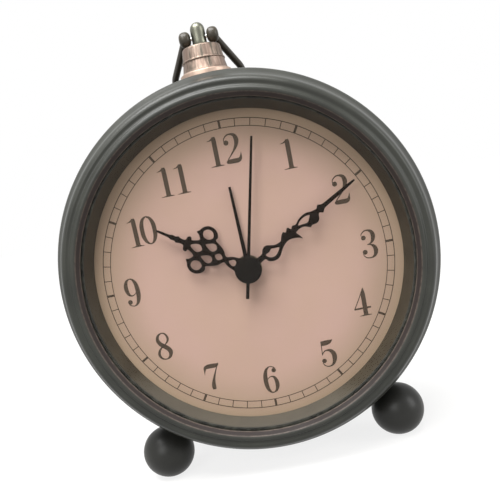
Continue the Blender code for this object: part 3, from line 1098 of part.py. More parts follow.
def battery():
    """One cell, its two contacts, the door over it and the leads to the movement."""
    long_half, tall_half = bay_half_size()
    end = CELL_L / 2.0 + CELL_NUB_L / 2.0
    cell = [(0.0, -end), (CELL_R, -end), (CELL_R, -end + CELL_L), (CELL_NUB_R, -end + CELL_L),
            (CELL_NUB_R, end), (0.0, end)]
    at = in_clock(0.0, CELL_AXIS, CELL_Z)
    bm = turned(cell, MID_FACETS, closed=False, axis="Z")
    add_object("battery", turn_about_depth(bm, TURN / 4.0), CELL_BLUE, at)
    for name, side in (("battery_contact_plus", 1.0), ("battery_contact_minus", -1.0)):
        ends = sorted((side * (long_half - SEAT), side * (long_half - SEAT - CONTACT_T)))
        strip = block((ends[0], -CONTACT_HALF, -CONTACT_HALF), (ends[1], CONTACT_HALF, CONTACT_HALF))
        add_object(name, strip, STEEL, at, smooth=False)
    plus_gap = long_half - SEAT - CONTACT_T - SEAT
    spring_start = -plus_gap + SPRING_WIRE_R
    spring_end = -end - SEAT - SPRING_WIRE_R
    points = []
    count = SPRING_STEPS * SPRING_TURNS
    for k in range(count + 1):
        y, z = polar(SPRING_R, TURN * SPRING_TURNS * k / count)
        points.append(Vector((spring_start + (spring_end - spring_start) * k / count, y, z)))
    spring = wire(points, [SPRING_WIRE_R] * len(points), CUT_FACETS // 2)
    add_object("battery_spring", spring, STEEL, at)

    lap = DOOR_LAP - RUN
    door_low = (-long_half - lap, -DOOR_T, 0.0)
    door_high = (long_half + lap, 0.0, 2.0 * (tall_half + lap))
    hinge_at = in_clock(0.0, COVER_BACK, CELL_Z - tall_half - lap)
    door = add_object("battery_door", block(door_low, door_high), BLACK_PLASTIC, hinge_at, smooth=False)
    grip_top = door_high[2] - GRIP_RAISE
    grip = block((-GRIP_W / 2.0, -DOOR_T / 2.0, grip_top - GRIP_H), (GRIP_W / 2.0, GRIP_H, grip_top))
    boolean(door, add_object("door_grip_shape", grip, None, hinge_at), "UNION")

    bay_end = long_half + BAY_WALL + SEAT
    start_back = BAY_FLOOR + CELL_R
    end_back = MOVE_BACK + SEAT
    low_x, low_up = LEAD_END_AT
    knots = [(bay_end, start_back, CELL_Z), (bay_end + LEAD_BEND / 2.0, start_back, CELL_Z),
             (bay_end + LEAD_BEND, start_back - LEAD_BEND / 2.0, CELL_Z - LEAD_BEND / 2.0),
             (bay_end + LEAD_BEND / 2.0, (start_back + end_back) / 2.0, (CELL_Z + low_up) / 2.0),
             (low_x + LEAD_BEND, end_back + LEAD_BEND, low_up), (low_x, end_back + LEAD_BEND / 2.0, low_up),
             (low_x, end_back, low_up)]
    for name, side, look in (("battery_lead_red", 1.0, CABLE_RED), ("battery_lead_black", -1.0, RUBBER)):
        points = [Vector((side * x, y, z)) for x, y, z in knots]
        add_object(name, wire(points, [LEAD_R] * len(points), CUT_FACETS), look, in_clock(0.0, 0.0, 0.0))


def knob(name, place):
    """A fluted knob pushed onto a setting arbor behind the cover."""
    outline = []
    for k in range(2 * KNOB_FLUTES):
        radius = KNOB_R if k % 2 == 0 else KNOB_R * KNOB_FLUTE_SHARE
        outline.append(polar(radius, TURN * k / (2 * KNOB_FLUTES)))
    at = in_clock(place[0], 0.0, place[1])
    obj = add_object(name, prism([outline], KNOB_FRONT, KNOB_BACK), BLACK_PLASTIC, at, smooth=False)
    bore = round_bar(SHAFT_R + SEAT, KNOB_FRONT - OVERRUN, ARBOR_BACK + SEAT, FINE_FACETS)
    boolean(obj, add_object(name + "_bore_cutter", bore, None, at))
    return obj


def alarm_switch():
    """Slider: a ribbed nub outside, a neck in the slot and a flange inside the cover."""
    nub_w, nub_h, nub_t = SWITCH_NUB
    x, z = SWITCH_AT
    at = in_clock(x, 0.0, z)
    neck = block((-nub_w / 2.0, COVER_INSIDE - SEAT - SWITCH_FLANGE_T, -nub_h / 2.0),
                 (nub_w / 2.0, COVER_BACK + nub_t, nub_h / 2.0))
    obj = add_object("alarm_switch", neck, WHITE_PLASTIC, at, smooth=False)
    wide, tall = nub_w / 2.0 + SWITCH_FLANGE_LAP, nub_h / 2.0 + SWITCH_FLANGE_LAP
    flange = block((-wide, COVER_INSIDE - SEAT - SWITCH_FLANGE_T, -tall), (wide, COVER_INSIDE - SEAT, tall))
    boolean(obj, add_object("switch_flange_shape", flange, None, at), "UNION")
    return obj


def buzzer():
    """Round sounder against the inside of the cover, behind its slots."""
    bm = round_bar(BUZZER_R, COVER_INSIDE - SEAT - BUZZER_T, COVER_INSIDE - SEAT, MID_FACETS)
    return add_object("buzzer", bm, BLACK_PLASTIC, in_clock(BUZZER_AT[0], 0.0, BUZZER_AT[1]))


def build():
    """Make every piece of the clock."""
    clear_scene()
    bezel()
    glass()
    gasket()
    inner_wall()
    dial()
    drum()
    ball_feet()
    rear_foot()
    pendant()
    bow()
    hands()
    going_train()
    motion_work()
    alarm_work()
    movement_housing()
    motor()
    back_cover()
    battery()
    knob("time_set_knob", TIME_AT)
    knob("alarm_set_knob", ALARM_AT)
    alarm_switch()
    buzzer()


build()
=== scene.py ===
"""Looks of a round metal table clock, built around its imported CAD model. Sizes are in metres."""
import json
import math

import bmesh
import bpy
import numpy as np
from mathutils import Matrix, Vector


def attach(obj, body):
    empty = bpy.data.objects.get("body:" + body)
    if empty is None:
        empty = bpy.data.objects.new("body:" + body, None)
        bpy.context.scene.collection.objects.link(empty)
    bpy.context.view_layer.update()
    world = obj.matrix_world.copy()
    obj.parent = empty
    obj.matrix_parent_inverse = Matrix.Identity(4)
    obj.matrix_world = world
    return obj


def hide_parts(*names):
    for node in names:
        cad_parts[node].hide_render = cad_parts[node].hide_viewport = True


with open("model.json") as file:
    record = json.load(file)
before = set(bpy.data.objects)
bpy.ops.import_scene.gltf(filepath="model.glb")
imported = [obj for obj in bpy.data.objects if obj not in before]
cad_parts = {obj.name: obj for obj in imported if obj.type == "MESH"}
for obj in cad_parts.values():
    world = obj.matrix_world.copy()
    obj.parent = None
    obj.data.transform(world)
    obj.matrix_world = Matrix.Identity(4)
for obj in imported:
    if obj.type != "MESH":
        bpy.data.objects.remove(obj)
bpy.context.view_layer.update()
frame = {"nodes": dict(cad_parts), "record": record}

MM = 0.001
TURN = 2.0 * math.pi

# Where the dial's centre stands. Depth is measured from the dial's face backwards, along +Y
FACE_Y = -19.85 * MM
CENTRE_Z = 76.99386 * MM

# The pendant's upright axis and the bow's pivot, in mm from the dial's centre
PENDANT_SIDE = -1.5
PENDANT_BACK = 14.0
PIVOT_UP = 85.2

# Steps round the bezel, the other large rings and the small turned pieces
BEZEL_SIDES = 288
RING_SIDES = 224
SMALL_SIDES = 96

# Faces that meet at more than this keep a crisp line
CREASE = math.radians(40.0)


# Numbers and meshes

def linear(code):
    """Linear colour of an sRGB hex value."""
    parts = [int(code[k:k + 2], 16) / 255.0 for k in (1, 3, 5)]
    return tuple(c / 12.92 if c <= 0.04045 else ((c + 0.055) / 1.055) ** 2.4 for c in parts) + (1.0,)


def in_clock(points):
    """Points (right, depth, up) in mm from the dial's centre, as places in metres."""
    points = np.asarray(points, float)
    return points * MM + np.array([0.0, FACE_Y, CENTRE_Z])


def grid_faces(rows, columns, close_rows=False, close_columns=False):
    """Quads of a grid whose points are numbered row by row. A closed way joins its last line to its
    first."""
    row = np.arange(rows if close_rows else rows - 1)
    column = np.arange(columns if close_columns else columns - 1)
    i, j = (part.ravel() for part in np.meshgrid(row, column, indexing="ij"))
    down, across = (i + 1) % rows, (j + 1) % columns
    corners = [i * columns + j, i * columns + across, down * columns + across, down * columns + j]
    return np.stack(corners, 1)


def piece(name, points, faces, body, slot, node=None, look=None, marks=None):
    """A mesh from whole arrays, riding on a body. It has its slot's material or another look, and marks
    are named strengths at each point, from 0 to 1, for that material."""
    mesh = bpy.data.meshes.new(name)
    faces = faces if isinstance(faces, list) else faces.tolist()
    mesh.from_pydata(np.asarray(points, float).tolist(), [], faces)
    for mark, strength in (marks or {}).items():
        layer = mesh.attributes.new(mark, "FLOAT", "POINT")
        layer.data.foreach_set("value", np.asarray(strength, float))
    mesh.validate()
    mesh.update()
    obj = bpy.data.objects.new(name, mesh)
    bpy.context.scene.collection.objects.link(obj)
    merge_doubles(obj)
    mesh.shade_smooth()
    mesh.set_sharp_from_angle(angle=CREASE)
    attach(obj, body)
    if node:
        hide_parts(node)
    mesh.materials.append(MATERIALS[look or slot])


def merge_doubles(obj):
    """Close seams and poles, then turn every face outwards."""
    bm = bmesh.new()
    bm.from_mesh(obj.data)
    bmesh.ops.remove_doubles(bm, verts=bm.verts, dist=1e-7)
    bmesh.ops.recalc_face_normals(bm, faces=bm.faces)
    bm.to_mesh(obj.data)
    bm.free()


def arc(centre, radii, start, end, steps):
    """Points of an ellipse about a centre from one angle to another, in degrees."""
    angle = np.radians(np.linspace(start, end, steps + 1))
    return np.stack([centre[0] + radii[0] * np.cos(angle), centre[1] + radii[1] * np.sin(angle)], 1)


def softened(points, cut, steps=4, closed=True):
    """An outline whose corners are rounded: each corner p becomes the quadratic curve between the
    points a cut's length before and after it, with p as its middle control point."""
    points = np.asarray(points, float)
    before = np.roll(points, 1, 0) - points
    after = np.roll(points, -1, 0) - points
    cut = np.broadcast_to(np.asarray(cut, float), (len(points),))
    reach = []
    for way in (before, after):
        length = np.linalg.norm(way, axis=1)
        share = np.minimum(cut, 0.45 * length) / np.maximum(length, 1e-9)
        reach.append(points + way * share[:, None])
    t = np.linspace(0.0, 1.0, steps + 1)[None, :, None]
    start, corner, end = reach[0][:, None], points[:, None], reach[1][:, None]
    curve = start * (1 - t) ** 2 + corner * 2 * t * (1 - t) + end * t ** 2
    if not closed:
        curve[0] = points[0]
        curve[-1] = points[-1]
    return curve.reshape(-1, 2)


def spline(points, per_span=6, closed=False):
    """Catmull-Rom curve through control points of any number of columns: on each span it is the cubic
    whose slope at each end is half the step between that end's two neighbours."""
    points = np.asarray(points, float)
    if closed:
        padded = np.concatenate([points[-1:], points, points[:2]])
    else:
        padded = np.concatenate([2 * points[:1] - points[1:2], points, 2 * points[-1:] - points[-2:-1]])
    t = np.linspace(0.0, 1.0, per_span, endpoint=False)[None, :, None]
    a, b, c, d = padded[:-3, None], padded[1:-2, None], padded[2:-1, None], padded[3:, None]
    square, cube = 2 * a - 5 * b + 4 * c - d, 3 * b - a - 3 * c + d
    curve = 0.5 * (2 * b + (c - a) * t + square * t ** 2 + cube * t ** 3)
    curve = curve.reshape(-1, points.shape[1])
    return curve if closed else np.concatenate([curve, points[-1:]])


def turned_points(profile, sides, axis="depth", centre=(0.0, 0.0)):
    """Sweep (radius, along) once round an axis: x = r cos a, the other = r sin a. The axis runs through
    the dial's plane at centre (right, up) for depth, or at centre (right, depth) for up."""
    profile = np.asarray(profile, float)
    angle = np.linspace(0.0, TURN, sides, endpoint=False)
    r, along = profile[:, 0][:, None], profile[:, 1][:, None]
    first, second = centre[0] + r * np.cos(angle), centre[1] + r * np.sin(angle)
    along = np.broadcast_to(along, first.shape)
    stack = (first, along, second) if axis == "depth" else (first, second, along)
    return np.stack([part.ravel() for part in stack], 1)


def turned(name, profile, sides, slot, node, body="case", axis="depth", centre=(0.0, 0.0), ring=True,
           marks=None):
    """A turned piece in the clock's mm; a ring's profile closes on itself, the others end on the axis."""
    points = in_clock(turned_points(profile, sides, axis, centre))
    faces = grid_faces(len(profile), sides, ring, True)
    marks = {mark: np.repeat(strength, sides) for mark, strength in (marks or {}).items()}
    piece(name, points, faces, body, slot, node, marks=marks)


# Materials

def add(tree, kind, links, give=0, **settings):
    """Add a node and give back one of its outputs. Links holds its inputs by name or number, each a
    value or another node's output; settings are the node's own."""
    made = tree.nodes.new("ShaderNode" + kind)
    for key, value in settings.items():
        setattr(made, key, value)
    for key, value in links.items():
        if isinstance(value, bpy.types.NodeSocket):
            tree.links.new(value, made.inputs[key])
        else:
            made.inputs[key].default_value = value
    return made.outputs[give]


def finish(name, metallic=0.0, ior=1.5, gloss=0.5):
    """A new material with its tree, its shader and the piece's own coordinates from the dial's centre."""
    material = bpy.data.materials.new(name)
    material.use_nodes = True
    tree = material.node_tree
    shader = tree.nodes["Principled BSDF"]
    shader.inputs["Metallic"].default_value = metallic
    shader.inputs["IOR"].default_value = ior
    shader.inputs["Specular IOR Level"].default_value = gloss
    own = add(tree, "TexCoord", {}, "Object")
    where = add(tree, "Mapping", {"Vector": own, "Location": (0.0, -FACE_Y, -CENTRE_Z)})
    return material, tree, shader, where


def dress(tree, shader, colour, roughness, height, strength, depth):
    """Give a shader its colour, its roughness, and dents whose full height is depth in mm."""
    tree.links.new(colour, shader.inputs["Base Color"])
    tree.links.new(roughness, shader.inputs["Roughness"])
    normal = add(tree, "Bump", {"Height": height, "Strength": strength, "Distance": depth * MM})
    tree.links.new(normal, shader.inputs["Normal"])


def per_mm(size):
    """Scale that makes a pattern's step this many mm on Object coordinates."""
    return 1.0 / (size * MM)


def satin_lacquer(name, base, warm, worn_and_highlight, rough, gloss):
    """Steel sprayed with satin lacquer: an even dull sheen, cloudy in tone, its rims rubbed to bare
    metal and partly painted pale as highlight lines, and a duller dark brown where the marks say, which
    is the lip's own brown tone with painted shade."""
    material, tree, shader, where = finish(name, gloss=gloss)
    clouds = add(tree, "TexNoise", {"Vector": where, "Scale": per_mm(14.0), "Detail": 4.0})
    share = add(tree, "MapRange", {0: clouds, 1: 0.38, 2: 0.68})
    colour = add(tree, "Mix", {0: share, 6: linear(base), 7: linear(warm)}, 2, data_type="RGBA")
    # The lip's dark brown is its own brown tone with painted shade laid over it
    lip_tone_and_shade = add(tree, "Attribute", {}, "Fac", attribute_name="lip_coat_and_shade")
    colour = add(tree, "Mix", {0: lip_tone_and_shade, 6: colour, 7: linear("#1f1613")}, 2, data_type="RGBA")
    # The pale rubbed lines are wear, and at the lip and bead partly painted highlight
    rim = add(tree, "Attribute", {}, "Fac", attribute_name="edge")
    scuffs = add(tree, "TexNoise", {"Vector": where, "Scale": per_mm(1.6), "Detail": 5.0,
                                    "Roughness": 0.7})
    bare = add(tree, "MapRange", {0: scuffs, 1: 0.30, 2: 0.56})
    rubbed_and_highlight = add(tree, "Math", {0: rim, 1: bare}, operation="MULTIPLY")
    colour = add(tree, "Mix", {0: rubbed_and_highlight, 6: colour, 7: linear(worn_and_highlight)}, 2, data_type="RGBA")
    # Spray texture is about 0.3 mm across; it is drawn at 0.7 mm so that it shows
    spray = add(tree, "TexNoise", {"Vector": where, "Scale": per_mm(0.7)})
    sheen = add(tree, "MapRange", {0: clouds, 1: 0.3, 2: 0.7, 3: rough + 0.05, 4: rough - 0.05})
    dull = add(tree, "Math", {0: lip_tone_and_shade, 1: 0.25, 2: sheen}, operation="MULTIPLY_ADD")
    dress(tree, shader, colour, dull, spray, 0.2, 0.015)
    return material


def moulded(name, base, tint, rough=0.5, grain=0.9, gloss=0.5, dents=0.3, painted_low_light=None):
    """Injection-moulded plastic: even colour with a slight cloudiness and a fine spark-eroded grain.
    Where a low-side colour is given, a paler film is laid on towards that side: painted light where it
    faces up."""
    material, tree, shader, where = finish(name, ior=1.53, gloss=gloss)
    clouds = add(tree, "TexNoise", {"Vector": where, "Scale": per_mm(9.0), "Detail": 3.0})
    share = add(tree, "MapRange", {0: clouds, 1: 0.35, 2: 0.65})
    colour = add(tree, "Mix", {0: share, 6: linear(base), 7: linear(tint)}, 2, data_type="RGBA")
    if painted_low_light:
        # Painted light: the low side is made paler, as though lit where it faces up
        low = add(tree, "VectorMath", {0: where, 1: (-0.225, 0.0, -0.974)}, "Value",
                  operation="DOT_PRODUCT")
        painted_light_share = add(tree, "MapRange", {0: low, 1: 40.0 * MM, 2: 47.0 * MM, 3: 0.0, 4: 0.22})
        colour = add(tree, "Mix", {0: painted_light_share, 6: colour, 7: linear(painted_low_light)}, 2, data_type="RGBA")
    sheen = add(tree, "MapRange", {0: clouds, 1: 0.3, 2: 0.7, 3: rough - 0.04, 4: rough + 0.05})
    # The real grain is near 0.2 mm; it is drawn coarser so that it shows
    pits = add(tree, "TexNoise", {"Vector": where, "Scale": per_mm(grain)})
    dress(tree, shader, colour, sheen, pits, dents, 0.02)
    return material


def plated(name, base, tint, rough):
    """Plated or bare metal: a clouded polish with the faint ripple that tumbling or rolling leaves."""
    material, tree, shader, where = finish(name, metallic=1.0)
    clouds = add(tree, "TexNoise", {"Vector": where, "Scale": per_mm(4.0), "Detail": 3.0})
    share = add(tree, "MapRange", {0: clouds, 1: 0.35, 2: 0.65})
    colour = add(tree, "Mix", {0: share, 6: linear(base), 7: linear(tint)}, 2, data_type="RGBA")
    sheen = add(tree, "MapRange", {0: clouds, 1: 0.3, 2: 0.7, 3: rough - 0.05, 4: rough + 0.08})
    ripple = add(tree, "TexNoise", {"Vector": where, "Scale": per_mm(0.5), "Detail": 3.0})
    dress(tree, shader, colour, sheen, ripple, 0.2, 0.01)
    return material


# Heights on the collar in mm: the top of its foot band and the start of its upper tier
FOOT_BAND = 72.6
UPPER_TIER = 76.6


def brushed_copper():
    """Copper-plated collar, brushed up and down: soft streaks run along its height, copper where they are
    light and grey-brown where they are dark, and they don't line up from one tier to the next. The foot
    band is paler, a painted highlight where the flare catches the light."""
    material, tree, shader, where = finish("brushed_copper_plate", metallic=1.0)
    height = add(tree, "SeparateXYZ", {0: where}, "Z")
    tier = add(tree, "Math", {0: height, 1: UPPER_TIER * MM}, operation="GREATER_THAN")
    shift = add(tree, "CombineXYZ", {0: tier})
    apart = add(tree, "VectorMath", {0: where, 1: shift}, operation="ADD")
    drawn_out = add(tree, "Mapping", {"Vector": apart, "Scale": (1.0, 1.0, 0.02)})
    broad = add(tree, "TexNoise", {"Vector": drawn_out, "Scale": per_mm(3.2), "Detail": 2.0})
    # Brush lines are about 0.1 mm apart; they are drawn at 0.7 mm so that they show
    lines = add(tree, "TexNoise", {"Vector": drawn_out, "Scale": per_mm(0.7), "Detail": 3.0})
    share = add(tree, "MapRange", {0: broad, 1: 0.40, 2: 0.60})
    colour = add(tree, "Mix", {0: share, 6: linear("#534e46"), 7: linear("#806e63")}, 2, data_type="RGBA")
    bright = add(tree, "MapRange", {0: lines, 1: 0.42, 2: 0.72, 3: 0.0, 4: 0.8})
    colour = add(tree, "Mix", {0: bright, 6: colour, 7: linear("#9f8c80")}, 2, data_type="RGBA")
    # Painted highlight: the foot band is made paler
    band_highlight = add(tree, "MapRange", {0: height, 1: (FOOT_BAND + 0.3) * MM, 2: (FOOT_BAND - 0.3) * MM,
                                  3: 0.0, 4: 0.55})
    colour = add(tree, "Mix", {0: band_highlight, 6: colour, 7: linear("#c9b09f")}, 2, data_type="RGBA")
    sheen = add(tree, "MapRange", {0: broad, 1: 0.3, 2: 0.7, 3: 0.55, 4: 0.42})
    dress(tree, shader, colour, sheen, lines, 0.35, 0.03)
    return material


def printed_paper():
    """Uncoated dial paper: pinkish beige, faintly mottled, gone yellower and darker towards its edge,
    partly with age and partly as painted shade from the wall.
    """
    material, tree, shader, where = finish("uncoated_dial_paper", ior=1.45)
    level = add(tree, "Mapping", {"Vector": where, "Scale": (1.0, 0.0, 1.0)})
    radius = add(tree, "VectorMath", {0: level}, "Value", operation="LENGTH")
    clouds = add(tree, "TexNoise", {"Vector": where, "Scale": per_mm(22.0), "Detail": 4.0})
    share = add(tree, "MapRange", {0: clouds, 1: 0.35, 2: 0.65})
    colour = add(tree, "Mix", {0: share, 6: linear("#d8b0aa"), 7: linear("#d4aea4")}, 2, data_type="RGBA")
    # Towards the edge the paper is yellowed with age and also darkened as painted shade, where the wall's
    # shadow falls
    aged_and_shade = add(tree, "MapRange", {0: radius, 1: 0.040, 2: 0.058})
    colour = add(tree, "Mix", {0: aged_and_shade, 6: colour, 7: linear("#b79c87")}, 2, data_type="RGBA")
    # Paper fibres are about 0.05 mm wide; they are drawn at 0.35 mm so that they show
    fibres = add(tree, "TexNoise", {"Vector": where, "Scale": per_mm(0.35), "Detail": 3.0})
    dark = add(tree, "MapRange", {0: fibres, 1: 0.3, 2: 0.7, 3: 0.0, 4: 0.12})
    colour = add(tree, "Mix", {0: dark, 6: colour, 7: linear("#b39a86")}, 2, data_type="RGBA")
    sheen = add(tree, "MapRange", {0: fibres, 1: 0.3, 2: 0.7, 3: 0.82, 4: 0.9})
    dress(tree, shader, colour, sheen, fibres, 0.3, 0.01)
    return material


def printing_ink():
    """Screen-printed dark brown ink: matt, and a little uneven where the paper took it."""
    material, tree, shader, where = finish("screen_printed_ink")
    uneven = add(tree, "TexNoise", {"Vector": where, "Scale": per_mm(0.6), "Detail": 3.0})
    share = add(tree, "MapRange", {0: uneven, 1: 0.35, 2: 0.75})
    colour = add(tree, "Mix", {0: share, 6: linear("#3a281c"), 7: linear("#513a2b")}, 2, data_type="RGBA")
    sheen = add(tree, "MapRange", {0: uneven, 1: 0.3, 2: 0.7, 3: 0.55, 4: 0.7})
    dress(tree, shader, colour, sheen, uneven, 0.2, 0.01)
    return material


def float_glass():
    """Flat float glass: clear to the light that goes straight through, with a polished gloss over it."""
    material, tree, shader, where = finish("flat_float_glass")
    tree.nodes.remove(shader)
    wipes = add(tree, "TexNoise", {"Vector": where, "Scale": per_mm(18.0), "Detail": 3.0})
    clear = add(tree, "BsdfTransparent", {"Color": linear("#f6f7f4")})
    sheen = add(tree, "MapRange", {0: wipes, 1: 0.3, 2: 0.7, 3: 0.02, 4: 0.07})
    gloss = add(tree, "BsdfGlossy", {"Color": linear("#ffffff"), "Roughness": sheen})
    # One face reflects for both, and at a low index, since hardly any of the room shows in the glass
    share = add(tree, "Fresnel", {"IOR": 1.25})
    back = add(tree, "NewGeometry", {}, "Backfacing")
    front = add(tree, "Math", {0: 1.0, 1: back}, operation="SUBTRACT")
    share = add(tree, "Math", {0: share, 1: front}, operation="MULTIPLY")
    both = add(tree, "MixShader", {0: share, 1: clear, 2: gloss})
    tree.links.new(both, tree.nodes["Material Output"].inputs["Surface"])
    return material


def soft_rubber(name, base):
    """Moulded rubber or soft PVC: dull, with a faint bloom."""
    material, tree, shader, where = finish(name)
    bloom = add(tree, "TexNoise", {"Vector": where, "Scale": per_mm(2.5), "Detail": 4.0})
    share = add(tree, "MapRange", {0: bloom, 1: 0.4, 2: 0.75, 3: 0.0, 4: 0.5})
    colour = add(tree, "Mix", {0: share, 6: linear(base), 7: linear("#6b6862")}, 2, data_type="RGBA")
    sheen = add(tree, "MapRange", {0: bloom, 1: 0.3, 2: 0.7, 3: 0.72, 4: 0.85})
    dress(tree, shader, colour, sheen, bloom, 0.3, 0.02)
    return material


def wound_wire():
    """Enamelled copper wire in close turns across the bobbin, each turn a bright rounded line."""
    material, tree, shader, where = finish("enamelled_copper_wire", metallic=0.8)
    # Real wire is 0.05 mm thick; the turns are drawn 0.4 mm apart so that they show
    turns = add(tree, "TexWave", {"Vector": where, "Scale": per_mm(0.4) / TURN, "Distortion": 0.4},
                "Fac", wave_type="BANDS", bands_direction="X")
    colour = add(tree, "Mix", {0: turns, 6: linear("#6b3415"), 7: linear("#c8743a")}, 2, data_type="RGBA")
    sheen = add(tree, "MapRange", {0: turns, 3: 0.45, 4: 0.3})
    dress(tree, shader, colour, sheen, turns, 0.5, 0.05)
    return material


MATERIALS = {
    "case_paint": satin_lacquer("satin_bronze_green_lacquer", "#33342f", "#2c2d29", "#75685e",
                                rough=0.36, gloss=0.28),
    "foot_paint": satin_lacquer("satin_black_foot_lacquer", "#2b2b28", "#242422", "#4b453e",
                                rough=0.40, gloss=0.25),
    "bow_paint": satin_lacquer("satin_black_bow_lacquer", "#39342b", "#2f2b23", "#5d564d",
                               rough=0.34, gloss=0.3),
    "hand_paint": satin_lacquer("satin_black_hand_lacquer", "#1a100a", "#150d08", "#2c211a",
                                rough=0.5, gloss=0.04),
    "wall_plastic": moulded("moulded_brown_styrene", "#463d32", "#3d342a", rough=0.45, grain=1.6,
                            gloss=0.2, dents=0.08, painted_low_light="#918b88"),
    "cap_plastic": moulded("moulded_black_styrene_cap", "#150d08", "#110b07", rough=0.45, grain=1.4,
                           gloss=0.04),
    "black_plastic": moulded("moulded_black_abs", "#242422", "#1d1d1c"),
    "white_plastic": moulded("moulded_white_acetal", "#e4e2da", "#d9d6cc", rough=0.45),
    "copper": brushed_copper(),
    "pewter": plated("tumbled_pewter_plate", "#77776a", "#626258", rough=0.38),
    "brass": plated("stamped_brass", "#c9a04e", "#b98f42", rough=0.3),
    "steel": plated("zinc_plated_steel", "#b9bab8", "#a7a9a9", rough=0.32),
    "cell": plated("printed_steel_cell_jacket", "#8a8d8f", "#7b7f82", rough=0.4),
    "paper": printed_paper(),
    "ink": printing_ink(),
    "fibre": moulded("pressed_fibre_board", "#8d7a60", "#7f6d54", rough=0.8, grain=1.6),
    "board": moulded("etched_phenolic_board", "#8a5a2c", "#7c4f26", grain=1.2),
    "glass": float_glass(),
    "rubber": soft_rubber("moulded_black_rubber", "#1f1e1d"),
    "lead_red": soft_rubber("soft_red_pvc_sleeve", "#8e1f1a"),
    "winding": wound_wire(),
}

for entry in frame["record"]["subparts"]:
    node = frame["nodes"][entry["node"]]
    node.data.materials.clear()
    node.data.materials.append(MATERIALS[entry["material_slot"]])


# Bezel, wall, glass and case: sections are (radius, depth) in mm

LIP_R = 59.0
ROLL_AT = (68.5, 1.1)


def bezel_profile():
    """Section of the pressed bezel: a lip that slopes down to the glass, a bead with a shallow groove
    round it, a dome that falls away outwards, and a flare that runs out into the rounded rim."""
    lip = np.array([(LIP_R, -9.1)])
    slope = np.linspace((59.1, -9.18), (60.2, -10.05), 12)
    bead = arc((61.25, -9.35), (1.25, 1.25), 215.0, 322.0, 22)
    groove = arc((63.102, -10.797), (1.1, 1.1), 142.0, 70.0, 12)[1:]
    dome = spline([(63.478, -9.763), (64.15, -9.88), (64.95, -9.6), (65.75, -8.75), (66.4, -7.2),
                   (66.85, -5.4), (67.25, -4.0), (67.8, -2.85), (68.5, -1.9), (69.1, -1.25),
                   (69.48, -0.78)], 5)[1:-1]
    roll = arc(ROLL_AT, (1.5, 2.5), -49.0, 40.0, 24)
    tail = np.array([(68.6, 3.63), (67.9, 3.63)])
    roll_lining = arc(ROLL_AT, (0.7, 1.8), 40.0, -90.0, 14)
    dome_lining = arc((61.5, -1.4), (5.0, 8.2), 0.0, -64.0, 18)
    back = np.array([(61.5, -8.4), (LIP_R, -8.4)])
    lining = np.concatenate([roll_lining, [(67.2, -0.1)], dome_lining])
    front = np.concatenate([slope, bead, groove, dome, roll])
    # Only the corners are softened, so that the curves stay smooth
    runs = [(lip, 0.05), (front, 0.0), (tail, 0.2), (lining, 0.0), (back, 0.2)]
    cuts = np.concatenate([np.full(len(run), cut) for run, cut in runs])
    return softened(np.concatenate([run for run, cut in runs]), cuts, 2)


def soft_line(r, at, width):
    """A mark that is 1 on a radius and falls off to each side as exp(-(distance / width)^2)."""
    return np.exp(-((r - at) / width) ** 2)


def bezel():
    """Marks: rubbed edges on the roll; pale lines on the bead's inner side and on the lip, partly wear
    and partly painted highlight; and dark brown on the lip, its own tone with painted shade.
    """
    profile = bezel_profile()
    r, depth = profile[:, 0], profile[:, 1]
    outside = depth < -8.9
    # The pale lines at the bead's inner side and at the lip are partly wear and partly painted highlight
    rubbed_and_highlight = (0.4 * soft_line(r, 69.98, 0.10) + 0.4 * soft_line(r, 60.40, 0.16) * outside
              + 0.5 * soft_line(r, LIP_R, 0.16) * outside)
    # Painted shade: the lip is marked for a dark brown, over its own brown tone
    lip_tone_and_shade = (1.0 / (1.0 + np.exp((r - 60.5) / 0.12))) * (depth < -8.6)
    marks = {"edge": np.clip(rubbed_and_highlight, 0.0, 1.0), "lip_coat_and_shade": lip_tone_and_shade}
    turned("bezel", profile, BEZEL_SIDES, "case_paint", "bezel_ring", marks=marks)


def wall_ring():
    """Sloping inner wall between the glass and the dial."""
    profile = softened([(58.7, -5.3), (61.2, -5.3), (61.2, -0.3), (56.3, -0.3)], 0.25)
    turned("inner_wall", profile, RING_SIDES, "wall_plastic", "inner_wall_ring")


def gasket():
    """Soft square-section ring behind the glass."""
    profile = softened([(58.7, -6.2), (60.5, -6.2), (60.5, -5.6), (58.7, -5.6)], 0.12)
    turned("glass_seal", profile, RING_SIDES, "rubber", "glass_gasket")


def glass_disc():
    """Flat disc with arrissed edges."""
    profile = [(0.0, -8.1), (20.0, -8.1), (40.0, -8.1), (60.2, -8.1), (60.5, -7.8), (60.5, -6.8),
               (60.2, -6.5), (40.0, -6.5), (20.0, -6.5), (0.0, -6.5)]
    turned("glass", profile, RING_SIDES, "glass", "glass_lens", ring=False)


def case_band():
    """Steel band with a rounded rear edge turned in to a lip, and the ledge for the dial's plate."""
    outer_r, inner_r, corner_at = 67.6, 66.9, (64.6, 39.0)
    outer = [(outer_r, 0.3), (outer_r, 10.0), (outer_r, 25.0)]
    corner = arc(corner_at, (3.0, 3.0), 0.0, 90.0, 10).tolist()
    lip = [(58.5, 42.0), (58.5, 41.3)]
    inner_corner = arc(corner_at, (2.3, 2.3), 90.0, 0.0, 8).tolist()
    ledge = [(inner_r, 3.0), (61.2, 3.0), (61.2, 2.0), (inner_r, 2.0)]
    profile = outer + corner + lip + inner_corner + [(inner_r, 25.0)] + ledge + [(inner_r, 0.3)]
    turned("case_band", profile, RING_SIDES, "case_paint", "case_drum")


def card():
    """Dial card, a flat ring with a fine edge."""
    profile = [(5.0, 0.0), (20.0, 0.0), (35.0, 0.0), (50.0, 0.0), (60.5, 0.0), (60.5, 0.4), (5.0, 0.4)]
    turned("card", profile, RING_SIDES, "paper", "dial_card")


# Feet, collar, post, bow and knobs: upright sections are (radius, height) in mm

PENDANT = {"axis": "up", "centre": (PENDANT_SIDE, PENDANT_BACK), "ring": False}


